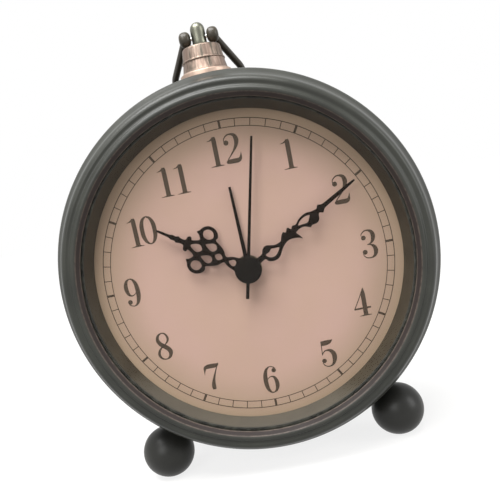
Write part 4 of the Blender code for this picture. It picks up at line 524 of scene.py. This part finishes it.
def front_foot(name, side, node):
    """Ball on a short neck that points at the drum's axis; its underside is cut flat where it rests."""
    ball_r, neck_r, from_axis, back_from_dial = 10.15, 3.6, 81.5, 10.0
    ball_end = 90.0 - math.degrees(math.asin(neck_r / ball_r)) - 4.0
    ball = arc((0.0, 0.0), (ball_r, ball_r), -90.0, ball_end, 72)
    top = [(neck_r + 0.15, 10.1), (neck_r, 10.8), (neck_r, 13.4), (neck_r, 14.4), (0.0, 14.4)]
    profile = np.concatenate([ball, np.array(top)])
    angle = np.linspace(0.0, TURN, SMALL_SIDES, endpoint=False)
    r, along = profile[:, 0][:, None], profile[:, 1][:, None]
    lean = math.radians(34.7) * side
    up = np.array([-math.sin(lean), 0.0, math.cos(lean)])
    right = np.array([math.cos(lean), 0.0, math.sin(lean)])
    back = np.array([0.0, 1.0, 0.0])
    centre = np.array([math.sin(lean) * from_axis, back_from_dial, -math.cos(lean) * from_axis])
    points = (centre + (r * np.cos(angle))[..., None] * right + (r * np.sin(angle))[..., None] * back
              + np.broadcast_to(along, r.shape)[..., None] * up)
    points = in_clock(points.reshape(-1, 3))
    points[:, 2] = np.maximum(points[:, 2], 0.0)
    faces = grid_faces(len(profile), SMALL_SIDES, False, True)
    piece(name, points, faces, "case", "foot_paint", node)


def collar():
    """Two-tier collar, softly edged: a flared foot band, a lower tier, a thin ring and an upper tier."""
    outline = [(0.0, 67.9), (9.6, 67.9), (9.6, 72.2), (9.0, 72.6), (8.35, 73.0), (7.7, 76.15),
               (7.75, 76.35), (8.0, 76.45), (8.0, 76.9), (7.65, 77.05), (7.6, 77.3), (7.1, 81.1),
               (6.75, 81.5), (0.0, 81.5)]
    profile = softened(outline, 0.18, 3, closed=False)
    turned("collar", profile, SMALL_SIDES, "copper", "pendant_collar", **PENDANT)


def post():
    """Domed post that the bow hangs on."""
    dome = arc((0.0, 87.75), (2.65, 2.65), 0.0, 90.0, 14).tolist()
    profile = [(0.0, 81.8), (2.5, 81.8), (2.65, 82.0), (2.65, 84.0), (2.65, 86.0)] + dome
    turned("post", profile, 72, "pewter", "pendant_post", **PENDANT)


def rear_foot():
    """Turned peg that flares to its rubber pad, and the pad."""
    peg = [(0.0, -61.4), (1.5, -61.4), (1.5, -67.9), (3.0, -67.9), (3.0, -69.8), (3.4, -71.5),
           (4.6, -73.6), (4.6, -75.1), (0.0, -75.1)]
    pad = [(0.0, -75.4), (4.45, -75.4), (4.6, -75.6), (4.6, -76.7), (4.35, -76.99), (0.0, -76.99)]
    stand = {"axis": "up", "centre": (0.0, 35.0), "ring": False}
    turned("rear_peg", softened(peg, 0.15, 3, closed=False), 72, "foot_paint", "rear_foot", **stand)
    turned("rear_pad", softened(pad, 0.12, 3, closed=False), 72, "rubber", "rear_foot_pad", **stand)


def knob(name, place, node, body):
    """Fluted knob with a dished face: radius = r (1 - f k (1 - cos na)), where n is the number of flutes,
    f is half their depth as a share of r, and k is 1 on the grip and 0 in the dish and in the bore."""
    sides, flutes, half_flute = 144, 12, 0.05
    outline = [(0.0, 48.8), (1.7, 48.8), (1.7, 45.7), (6.5, 45.7), (6.5, 50.1), (6.2, 50.3), (5.0, 50.3),
               (4.3, 49.6), (2.0, 49.5), (0.0, 49.5)]
    profile = softened(outline, 0.35, 5, closed=False)
    r, depth = profile[:, 0][:, None], profile[:, 1][:, None]
    grip = np.clip((r - 4.6) / 1.2, 0.0, 1.0)
    angle = np.linspace(0.0, TURN, sides, endpoint=False)
    wide = r * (1.0 - half_flute * grip * (1.0 - np.cos(flutes * angle)))
    right, up = place[0] + wide * np.cos(angle), place[1] + wide * np.sin(angle)
    points = np.stack([right, np.broadcast_to(depth, wide.shape), up], -1).reshape(-1, 3)
    faces = grid_faces(len(profile), sides, False, True)
    piece(name, in_clock(points), faces, body, "black_plastic", node)


def knuckle(middle):
    """Rounded ear at an end of the bow: an oval ball squared off a little, |x/a|^n + |r/b|^n = 1 turned
    about the pivot, where a is its half width, b its radius and n the power."""
    half_width, radius, power, sides = 2.2, 2.75, 2.6, 40
    angle = np.radians(np.linspace(-90.0, 90.0, 25))
    wide = np.sign(np.sin(angle)) * np.abs(np.sin(angle)) ** (2.0 / power) * half_width
    tall = np.abs(np.cos(angle)) ** (2.0 / power) * radius
    tall[[0, -1]] = 0.0
    ball = turned_points(np.stack([tall, wide], 1), sides)
    points = np.stack([ball[:, 1] + middle, ball[:, 0], ball[:, 2]], 1)
    return points, grid_faces(len(angle), sides, False, True).tolist()


def bow():
    """Round wire bent in one plane and its two knuckles: the wire's section lies along the plane's normal
    and the curve's. The plane droops backwards from the pivot until the wire almost meets the drum."""
    splay_degrees, leg, wire_r, ear, sides = 23.0, 19.0, 1.35, 5.15, 32
    splay, droop = math.radians(splay_degrees), math.radians(29.202)
    along_leg = np.array([0.0, 0.01, 1.5, 3.2, 5.0, 8.0, 11.0, 14.0, 17.0])[:, None]
    straight = np.array([ear, 0.0]) + along_leg * [math.sin(splay), math.cos(splay)]
    arc_r = (ear + leg * math.sin(splay)) / math.cos(splay)
    arc_at = leg * math.cos(splay) + arc_r * math.sin(splay)
    path = np.concatenate([straight, arc((0.0, arc_at), (arc_r, arc_r), -splay_degrees, 90.0, 27)])
    radii = np.full(len(path), wire_r)
    radii[0] = 0.0
    path = np.concatenate([path, (path * [-1.0, 1.0])[-2::-1]])
    radii = np.concatenate([radii, radii[-2::-1]])
    along = np.gradient(path, axis=0)
    along /= np.linalg.norm(along, axis=1)[:, None]
    normal = np.stack([-along[:, 1], along[:, 0]], 1)
    angle = np.linspace(0.0, TURN, sides, endpoint=False)
    flat = path[:, None, :] + normal[:, None, :] * (radii[:, None] * np.cos(angle))[..., None]
    lift = radii[:, None] * np.sin(angle)
    wire = np.stack([flat[..., 0], flat[..., 1], lift], -1).reshape(-1, 3)
    wire_faces = grid_faces(len(path), sides, False, True).tolist()
    points, faces = joined([(wire, wire_faces), knuckle(ear), knuckle(-ear)])
    x, out, lift = points[:, 0] + PENDANT_SIDE, points[:, 1], points[:, 2]
    depth = PENDANT_BACK + out * math.cos(droop) + lift * math.sin(droop)
    up = PIVOT_UP - out * math.sin(droop) + lift * math.cos(droop)
    piece("bow_wire", in_clock(np.stack([x, depth, up], 1)), faces, "bow", "bow_paint", "bow_handle")


# Hands

# Where each hand points at rest, in degrees clockwise from twelve, and its length in mm
HAND_ANGLES = {"alarm": 358.5, "hour": 304.2, "minute": 60.9, "second": 12.8}
HAND_LENGTHS = {"alarm": 30.0, "hour": 35.7, "minute": 48.8, "second": 46.5}
SECOND_TAIL = 10.5
SHEET = 0.4

# Outlines (right, up) as shares of a hand's length
MINUTE_EDGE = [
    (0.022, 0.060), (0.022, 0.143), (0.048, 0.155), (0.071, 0.183), (0.081, 0.218), (0.075, 0.247),
    (0.057, 0.275), (0.042, 0.300), (0.031, 0.330), (0.027, 0.360), (0.034, 0.390), (0.048, 0.415),
    (0.064, 0.437), (0.084, 0.452), (0.052, 0.449), (0.023, 0.442), (0.015, 0.462), (0.017, 0.495),
    (0.028, 0.518), (0.046, 0.536), (0.060, 0.548), (0.053, 0.566), (0.062, 0.590), (0.063, 0.615),
    (0.050, 0.635), (0.028, 0.648), (0.019, 0.664), (0.035, 0.685), (0.020, 0.708), (0.016, 0.740),
    (0.014, 0.850), (0.008, 0.985), (0.0, 1.0), (-0.008, 0.985), (-0.014, 0.850), (-0.016, 0.740),
    (-0.020, 0.708), (-0.034, 0.685), (-0.018, 0.664), (-0.020, 0.648), (-0.030, 0.615), (-0.043, 0.590),
    (-0.048, 0.555), (-0.042, 0.512), (-0.028, 0.478), (-0.036, 0.450), (-0.024, 0.430), (-0.050, 0.414),
    (-0.030, 0.384), (-0.045, 0.371), (-0.034, 0.347), (-0.016, 0.327), (-0.006, 0.315), (-0.007, 0.288),
    (-0.015, 0.262), (-0.033, 0.238), (-0.050, 0.215), (-0.052, 0.192), (-0.042, 0.170), (-0.022, 0.145),
    (-0.022, 0.060)]
MINUTE_HOLES = [
    [(0.000, 0.169), (0.028, 0.176), (0.048, 0.201), (0.050, 0.226), (0.042, 0.250), (0.022, 0.279),
     (0.004, 0.248), (-0.008, 0.227), (0.001, 0.202)],
    [(-0.010, 0.487), (0.002, 0.512), (0.013, 0.537), (0.016, 0.558), (0.000, 0.580), (-0.012, 0.596),
     (-0.022, 0.583), (-0.030, 0.553), (-0.026, 0.515)]]
HOUR_EDGE = [
    (0.064, 0.090), (0.064, 0.150), (0.052, 0.205), (0.031, 0.257), (0.078, 0.300), (0.110, 0.350),
    (0.132, 0.400), (0.146, 0.414), (0.172, 0.404), (0.215, 0.425), (0.246, 0.475), (0.246, 0.535),
    (0.215, 0.580), (0.178, 0.600), (0.150, 0.622), (0.132, 0.595), (0.092, 0.566), (0.070, 0.590),
    (0.052, 0.640), (0.074, 0.650), (0.078, 0.672), (0.062, 0.690), (0.029, 0.700), (0.025, 0.745),
    (0.035, 0.778), (0.022, 0.800), (0.026, 0.838), (0.015, 0.868), (0.013, 0.960), (0.008, 0.995)]
HOUR_RING = [(0.118, 0.510), (0.122, 0.480), (0.145, 0.452), (0.172, 0.450), (0.205, 0.470),
             (0.216, 0.505), (0.205, 0.540), (0.175, 0.560), (0.135, 0.548)]
HOUR_TEAR = [(0.064, 0.494), (0.040, 0.462), (0.025, 0.425), (0.030, 0.392), (0.064, 0.372),
             (0.098, 0.392), (0.103, 0.425), (0.086, 0.462)]
HOUR_MIDDLE_HOLES = [
    [(0.0, 0.284), (0.034, 0.325), (0.0, 0.366), (-0.034, 0.325)],
    [(0.0, 0.506), (0.042, 0.556), (0.0, 0.632), (-0.042, 0.556)],
    [(0.0, 0.216), (-0.022, 0.190), (-0.033, 0.165), (-0.020, 0.140), (0.0, 0.136), (0.020, 0.140),
     (0.033, 0.165), (0.022, 0.190)]]


def stamped(outlines, front, thick, bevel=0.05):
    """Points (right, depth, up) and faces of a flat sheet with the given outlines, the first the outside,
    filled between them and given a thickness with a small rounded edge."""
    curve = bpy.data.curves.new("outline", "CURVE")
    curve.dimensions = "2D"
    curve.fill_mode = "BOTH"
    curve.extrude = thick / 2.0 - bevel
    curve.bevel_depth = bevel
    curve.bevel_resolution = 1
    curve.offset = -bevel
    for outline in outlines:
        line = curve.splines.new("POLY")
        line.points.add(len(outline) - 1)
        flat = np.zeros((len(outline), 4))
        flat[:, :2] = outline
        flat[:, 3] = 1.0
        line.points.foreach_set("co", flat.ravel())
        line.use_cyclic_u = True
    obj = bpy.data.objects.new("outline", curve)
    mesh = obj.to_mesh()
    points = np.empty(len(mesh.vertices) * 3)
    mesh.vertices.foreach_get("co", points)
    points = points.reshape(-1, 3)
    faces = [list(polygon.vertices) for polygon in mesh.polygons]
    obj.to_mesh_clear()
    bpy.data.objects.remove(obj)
    bpy.data.curves.remove(curve)
    return np.stack([points[:, 0], front + thick / 2.0 - points[:, 2], points[:, 1]], 1), faces


def joined(parts):
    """Points and faces of several meshes as one."""
    points, faces, count = [], [], 0
    for part_points, part_faces in parts:
        points.append(part_points)
        faces += [[index + count for index in face] for face in part_faces]
        count += len(part_points)
    return np.concatenate(points), faces


def at_angle(points, degrees):
    """Turn points clockwise, as seen from the front, about the dial's centre."""
    angle = math.radians(degrees)
    turned_round = np.array(points, float)
    turned_round[:, 0] = points[:, 0] * math.cos(angle) + points[:, 2] * math.sin(angle)
    turned_round[:, 2] = points[:, 2] * math.cos(angle) - points[:, 0] * math.sin(angle)
    return turned_round


def disc(radius, front, thick, sides=72, soft=0.08):
    """A small flat disc with a softened front edge."""
    outline = [(0.0, front), (radius - soft, front), (radius, front + soft), (radius, front + thick),
               (0.0, front + thick)]
    return turned_points(outline, sides), grid_faces(len(outline), sides, False, True).tolist()


def hand(name, outlines, front, hub_r):
    """A stamped hand with its front at a depth: its pierced sheet and the hub disc that it is riveted
    to, a hair prouder."""
    proud = 0.06
    points, faces = joined([stamped(outlines, front, SHEET), disc(hub_r, front - proud, SHEET + proud)])
    points = at_angle(points, HAND_ANGLES[name])
    piece(name + "_pointer", in_clock(points), faces, name, "hand_paint", name + "_hand")


def mirrored(points):
    """An outline turned over left to right, in the same way round."""
    return [(-x, z) for x, z in reversed(points)]


def sized(outlines, length):
    """Outlines as shares of a length, smoothed and turned to mm."""
    return [spline(np.array(outline) * length, 4, True) for outline in outlines]


def hands():
    """The four hands: ornate ones for the minutes and hours, thin straight ones for the others."""
    hand("minute", sized([MINUTE_EDGE] + MINUTE_HOLES, HAND_LENGTHS["minute"]), front=-3.6, hub_r=4.0)
    hour_edge = HOUR_EDGE + [(0.0, 1.0)] + mirrored(HOUR_EDGE)
    hour_holes = [HOUR_RING, mirrored(HOUR_RING), HOUR_TEAR, mirrored(HOUR_TEAR)] + HOUR_MIDDLE_HOLES
    hand("hour", sized([hour_edge] + hour_holes, HAND_LENGTHS["hour"]), front=-2.6, hub_r=4.3)
    tip = HAND_LENGTHS["second"]
    hand("second", [[(-0.6, -SECOND_TAIL), (0.6, -SECOND_TAIL), (0.6, 0.0), (0.4, tip), (-0.4, tip),
                     (-0.6, 0.0)]], front=-4.6, hub_r=2.6)
    tip = HAND_LENGTHS["alarm"]
    hand("alarm", [[(-0.75, 0.0), (0.75, 0.0), (0.45, tip), (-0.45, tip)]], front=-1.6, hub_r=3.6)


# Printing on the dial

# How far the first layer stands off the card and each further one off the last, in mm
INK_FRONT = -0.02
INK_LAYER = 0.004
TRACK_RADII = (50.5, 53.2)

# Each figure's strokes (right, up, half width) and spots (right, up, radius), in mm about its own middle
FIGURES = {
    "0": (
        [[(0, 4.98, 0.22), (-1.3, 4.1, 0.5), (-2.1, 2.2, 0.74), (-2.25, 0, 0.78),
          (-2.1, -2.2, 0.74), (-1.3, -4.1, 0.5), (0, -4.98, 0.22), (1.3, -4.1, 0.5),
          (2.1, -2.2, 0.74), (2.25, 0, 0.78), (2.1, 2.2, 0.74), (1.3, 4.1, 0.5), (0, 4.98, 0.22)]],
        []),
    "1": (
        [[(0.25, 5.15, 0.55), (0.25, 4.0, 0.8), (0.25, 0, 0.82), (0.25, -4.4, 0.82),
          (0.25, -5.1, 0.95)],
         [(-2.2, 3.95, 0.1), (-1.2, 4.1, 0.2), (-0.3, 4.5, 0.35), (0.3, 4.9, 0.25)],
         [(-2.35, -5.08, 0.1), (-1.1, -5.0, 0.18), (0.25, -4.85, 0.36), (1.6, -5.0, 0.18),
          (2.4, -5.08, 0.1)]],
        []),
    "2": (
        [[(-2.55, 2.6, 0.1), (-2.4, 3.7, 0.18), (-1.3, 4.75, 0.24), (0, 4.95, 0.3),
          (1.35, 4.35, 0.6), (1.9, 2.8, 0.82), (1.5, 1.0, 0.62), (0.4, -0.7, 0.36),
          (-0.9, -2.2, 0.22), (-2.0, -3.4, 0.18), (-2.5, -4.1, 0.2)],
         [(-2.7, -4.85, 0.3), (-2.2, -4.42, 0.7), (-0.5, -4.35, 0.8), (1.2, -4.35, 0.8),
          (2.1, -3.9, 0.6), (2.5, -2.9, 0.3), (2.75, -1.7, 0.06)]],
        [(-1.85, 2.25, 0.88)]),
    "3": (
        [[(-2.4, 3.2, 0.1), (-2.2, 4.0, 0.17), (-1.2, 4.85, 0.22), (0.1, 5.0, 0.28),
          (1.4, 4.3, 0.6), (1.85, 2.9, 0.78), (1.5, 1.2, 0.6), (0.5, 0.2, 0.24),
          (-0.7, -0.1, 0.12)],
         [(-0.7, -0.1, 0.12), (0.7, -0.35, 0.3), (1.75, -1.3, 0.65), (2.1, -2.7, 0.8),
          (1.6, -4.2, 0.55), (0.4, -4.98, 0.26), (-1.3, -4.85, 0.2), (-2.3, -4.0, 0.15),
          (-2.6, -3.2, 0.1)]],
        [(-1.65, 2.5, 0.86), (-1.85, -2.7, 0.88)]),
    "4": (
        [[(1.2, 5.3, 0.08), (1.05, 4.4, 0.4), (0.9, 2.9, 0.8), (0.88, 0, 0.82), (0.88, -4.4, 0.82),
          (0.88, -5.1, 0.95)],
         [(1.15, 5.2, 0.16), (-0.9, 1.3, 0.17), (-2.95, -2.2, 0.17)],
         [(-3.1, -2.25, 0.32), (0, -2.25, 0.34), (3.1, -2.25, 0.32)],
         [(-1.4, -5.05, 0.12), (-0.3, -4.98, 0.2), (0.88, -4.85, 0.36), (2.1, -4.98, 0.2),
          (3.0, -5.05, 0.12)]],
        []),
    "5": (
        [[(-2.22, 4.1, 0.88), (-1.3, 4.08, 0.94), (-0.1, 4.15, 0.94), (1.2, 4.42, 0.66),
          (2.2, 4.98, 0.1)],
         [(-2.1, 5.0, 0.14), (-2.2, 2.3, 0.16), (-2.35, -0.3, 0.15)],
         [(-2.4, -0.4, 0.1), (-1.7, 0.75, 0.2), (-0.6, 1.25, 0.28), (0.9, 0.9, 0.6),
          (1.85, -0.4, 0.85), (2.0, -1.9, 0.88), (1.6, -3.5, 0.65), (0.7, -4.65, 0.35),
          (-0.7, -4.98, 0.22), (-2.0, -4.4, 0.18), (-2.7, -3.3, 0.12)]],
        [(-2.0, -2.6, 0.86)]),
    "6": (
        [[(2.2, 4.1, 0.2), (1.5, 4.75, 0.2), (0.2, 5.05, 0.2), (-1.1, 4.1, 0.5),
          (-1.85, 1.9, 0.78), (-2.02, -0.7, 0.82), (-1.7, -3.2, 0.66), (-0.8, -4.7, 0.36),
          (0.2, -5.02, 0.22), (1.3, -4.4, 0.45), (1.95, -2.9, 0.72), (2.0, -1.2, 0.74),
          (1.5, 0.5, 0.52), (0.5, 1.2, 0.25), (-0.6, 0.9, 0.17), (-1.3, 0.2, 0.12)]],
        [(1.65, 3.45, 0.86)]),
    "7": (
        [[(-2.8, 1.0, 0.06), (-2.6, 2.4, 0.26), (-2.15, 3.7, 0.62), (-0.9, 4.12, 0.82),
          (1.5, 4.12, 0.82), (2.5, 4.4, 0.55), (2.95, 4.95, 0.1)],
         [(2.85, 4.9, 0.14), (1.55, 2.1, 0.24), (0.35, -0.8, 0.46), (-0.22, -3.0, 0.74),
          (-0.28, -4.4, 0.76), (-0.3, -5.05, 0.55)]],
        []),
    "8": (
        [[(0.1, 5.05, 0.22), (-1.25, 4.3, 0.42), (-1.85, 2.7, 0.64), (-1.2, 1.1, 0.76),
          (0, 0, 0.82), (1.4, -1.2, 0.86), (2.05, -2.6, 0.82), (1.5, -4.3, 0.5), (0, -5.05, 0.22),
          (-1.6, -4.5, 0.35), (-2.3, -3.0, 0.5), (-1.8, -1.4, 0.4), (-0.6, -0.2, 0.22),
          (0.8, 0.7, 0.22), (1.75, 1.7, 0.38), (2.0, 3.0, 0.42), (1.3, 4.5, 0.32),
          (0.1, 5.05, 0.22)]],
        []),
}

# Each printed figure and its middle (right, up) in mm from the dial's centre
PLACES = [("1", 21.95, 37.1), ("2", 37.9, 21.35), ("3", 44.5, 0.2), ("4", 38.3, -20.4),
          ("5", 22.95, -37.0), ("6", -0.05, -42.85), ("7", -21.35, -37.4), ("8", -36.85, -22.3),
          ("9", -43.65, -0.25), ("1", -37.8, 20.85), ("0", -32.75, 20.85), ("1", -23.0, 36.2),
          ("1", -17.0, 36.2), ("1", -3.35, 42.95), ("2", 2.9, 42.95)]


def ribbon(stroke, depth):
    """A flat stroke: at each point of the smoothed middle line, two edge points a half width to each
    side."""
    line = spline(stroke, 7)
    along = np.gradient(line[:, :2], axis=0)
    along /= np.maximum(np.linalg.norm(along, axis=1), 1e-9)[:, None]
    out = np.stack([-along[:, 1], along[:, 0]], 1) * line[:, 2:3]
    left, right = line[:, :2] + out, line[:, :2] - out
    flat = np.stack([left, right], 1).reshape(-1, 2)
    points = np.stack([flat[:, 0], np.full(len(flat), depth), flat[:, 1]], 1)
    return points, grid_faces(len(line), 2).tolist()


def spot(x, z, radius, depth):
    """A flat round spot."""
    rim = arc((x, z), (radius, radius), 0.0, 360.0, 28)[:-1]
    return np.stack([rim[:, 0], np.full(len(rim), depth), rim[:, 1]], 1), [list(range(len(rim)))]


def figures():
    """The printed hour figures; a nine is a six turned half round."""
    parts = []
    for figure, x, z in PLACES:
        way = -1.0 if figure == "9" else 1.0
        strokes, spots = FIGURES["6" if figure == "9" else figure]
        layer = INK_FRONT
        for stroke in strokes:
            points, faces = ribbon(np.array(stroke) * [way, way, 1.0], layer)
            parts.append((points + [x, 0.0, z], faces))
            layer -= INK_LAYER
        for right, up, radius in spots:
            parts.append(spot(x + right * way, z + up * way, radius, layer))
            layer -= INK_LAYER
    return parts


def minute_track():
    """Two printed circles with sixty ticks between them, each fifth one bolder."""
    parts = []
    low, high = TRACK_RADII
    for radius, half in ((high, 0.15), (low, 0.14)):
        profile = [(radius - half, INK_FRONT), (radius + half, INK_FRONT)]
        faces = grid_faces(2, BEZEL_SIDES, False, True).tolist()
        parts.append((turned_points(profile, BEZEL_SIDES), faces))
    depth = INK_FRONT - INK_LAYER
    for k in range(60):
        half = 0.42 if k % 5 == 0 else 0.15
        corners = [(-half, depth, low), (half, depth, low), (half, depth, high), (-half, depth, high)]
        parts.append((at_angle(np.array(corners), 6.0 * k), [[0, 1, 2, 3]]))
    return parts


def printing():
    """All that is printed on the card, as one piece."""
    points, faces = joined(figures() + minute_track())
    piece("dial_printing", in_clock(points), faces, "case", "paper", look="ink")


def hub_cap():
    """Domed cap pressed on the seconds pipe."""
    profile = [(0.0, -6.0), (1.0, -5.99), (2.2, -5.94), (3.2, -5.84), (4.0, -5.68), (4.5, -5.5),
               (4.78, -5.3), (4.85, -5.1), (4.85, -4.9), (0.0, -4.9)]
    turned("centre_cap", profile, SMALL_SIDES, "cap_plastic", "hub_cap", body="second", ring=False)


bezel()
wall_ring()
gasket()
glass_disc()
case_band()
card()
front_foot("ball_foot_left", -1, "foot_left")
front_foot("ball_foot_right", 1, "foot_right")
collar()
post()
bow()
rear_foot()
knob("time_knob", (13.37, -13.37), "time_set_knob", "time_setting")
knob("alarm_knob", (-10.5, -10.5), "alarm_set_knob", "alarm_setting")
hub_cap()
printing()
hands()


# Room, lights and camera

ROOM_GREY = "#949494"

# How bright the floor is seen, near the clock and far from it, where 1 is white
FLOOR_LIFT = (0.81, 0.96)

# The photograph's camera: its place in metres, and its right, up and back directions as columns
PHOTO_PLACE = (0.00909, -0.237813, 0.10038)
PHOTO_TURN = ((0.980018, 0.193574, 0.045768), (0.012751, 0.168484, -0.985622),
              (-0.198502, 0.96651, 0.162649))


def floor():
    """Wide flat pale table top. Rays from the camera, from gloss and through glass see it white, apart
    from the shadow that the clock leaves on it."""
    across = np.linspace(-12.0, 12.0, 13)
    y, x = (line.ravel() for line in np.meshgrid(across, across, indexing="ij"))
    mesh = bpy.data.meshes.new("table_top")
    faces = grid_faces(len(across), len(across)).tolist()
    mesh.from_pydata(np.stack([x, y, np.zeros(len(x))], 1).tolist(), [], faces)
    obj = bpy.data.objects.new("table_top", mesh)
    bpy.context.scene.collection.objects.link(obj)
    material, tree, shader, where = finish("matt_white_table_top", ior=1.3, gloss=0.0)
    mottle = add(tree, "TexNoise", {"Vector": where, "Scale": per_mm(60.0)})
    colour = add(tree, "Mix", {0: mottle, 6: linear("#7d7c7a"), 7: linear("#81807e")}, 2,
                 data_type="RGBA")
    tree.links.new(colour, shader.inputs["Base Color"])
    shader.inputs["Roughness"].default_value = 0.9
    away = add(tree, "VectorMath", {0: where}, "Value", operation="LENGTH")
    near, far = FLOOR_LIFT
    white = add(tree, "MapRange", {0: away, 1: 0.15, 2: 0.7, 3: near, 4: far})
    lift = add(tree, "Math", {0: seen_directly(tree), 1: white}, operation="MULTIPLY")
    tree.links.new(lift, shader.inputs["Emission Strength"])
    mesh.materials.append(material)


def seen_directly(tree):
    """1 for rays from the camera, from gloss and through glass, 0 for those that only carry light."""
    seen = add(tree, "LightPath", {}, "Is Camera Ray")
    for kind in ("Is Glossy Ray", "Is Transmission Ray"):
        other = add(tree, "LightPath", {}, kind)
        seen = add(tree, "Math", {0: seen, 1: other}, operation="MAXIMUM")
    return seen


def softbox(name, at, size, power, towards=(0.0, 0.0, 0.08)):
    """A white rectangular soft light aimed at the clock, in metres and watts."""
    lamp = bpy.data.lights.new(name, "AREA")
    lamp.shape = "RECTANGLE"
    lamp.size, lamp.size_y = size
    lamp.energy = power
    obj = bpy.data.objects.new(name, lamp)
    obj.location = at
    obj.rotation_euler = (Vector(towards) - Vector(at)).to_track_quat("-Z", "Y").to_euler()
    bpy.context.scene.collection.objects.link(obj)


def room_light():
    """Even grey light from all round; where the camera, gloss or glass sees the room, it is white."""
    world = bpy.data.worlds.new("room")
    bpy.context.scene.world = world
    world.use_nodes = True
    tree = world.node_tree
    colour = add(tree, "Mix", {0: seen_directly(tree), 6: linear(ROOM_GREY), 7: linear("#ffffff")}, 2,
                 data_type="RGBA")
    tree.links.new(colour, tree.nodes["Background"].inputs["Color"])
    tree.nodes["Background"].inputs["Strength"].default_value = 1.0


def camera():
    """The photograph's view: the lens is in mm, and the shift only frames it."""
    lens = bpy.data.cameras.new("photo_view")
    lens.sensor_width = 36.0
    lens.lens = 43.2
    lens.shift_x, lens.shift_y = -0.005257, 0.104966
    lens.clip_start = 0.01
    obj = bpy.data.objects.new("photo_view", lens)
    obj.matrix_world = Matrix.Translation(PHOTO_PLACE) @ Matrix(PHOTO_TURN).to_4x4()
    bpy.context.scene.collection.objects.link(obj)
    bpy.context.scene.camera = obj


floor()
softbox("overhead", at=(-0.12, -0.22, 0.74), size=(0.6, 0.45), power=11.6)
softbox("front_left", at=(-0.42, -0.92, 0.55), size=(0.5, 0.5), power=4.2)
softbox("right_side", at=(0.8, -0.35, 0.35), size=(0.35, 0.6), power=3.6)
room_light()
camera()
bpy.context.scene.view_settings.view_transform = "Standard"
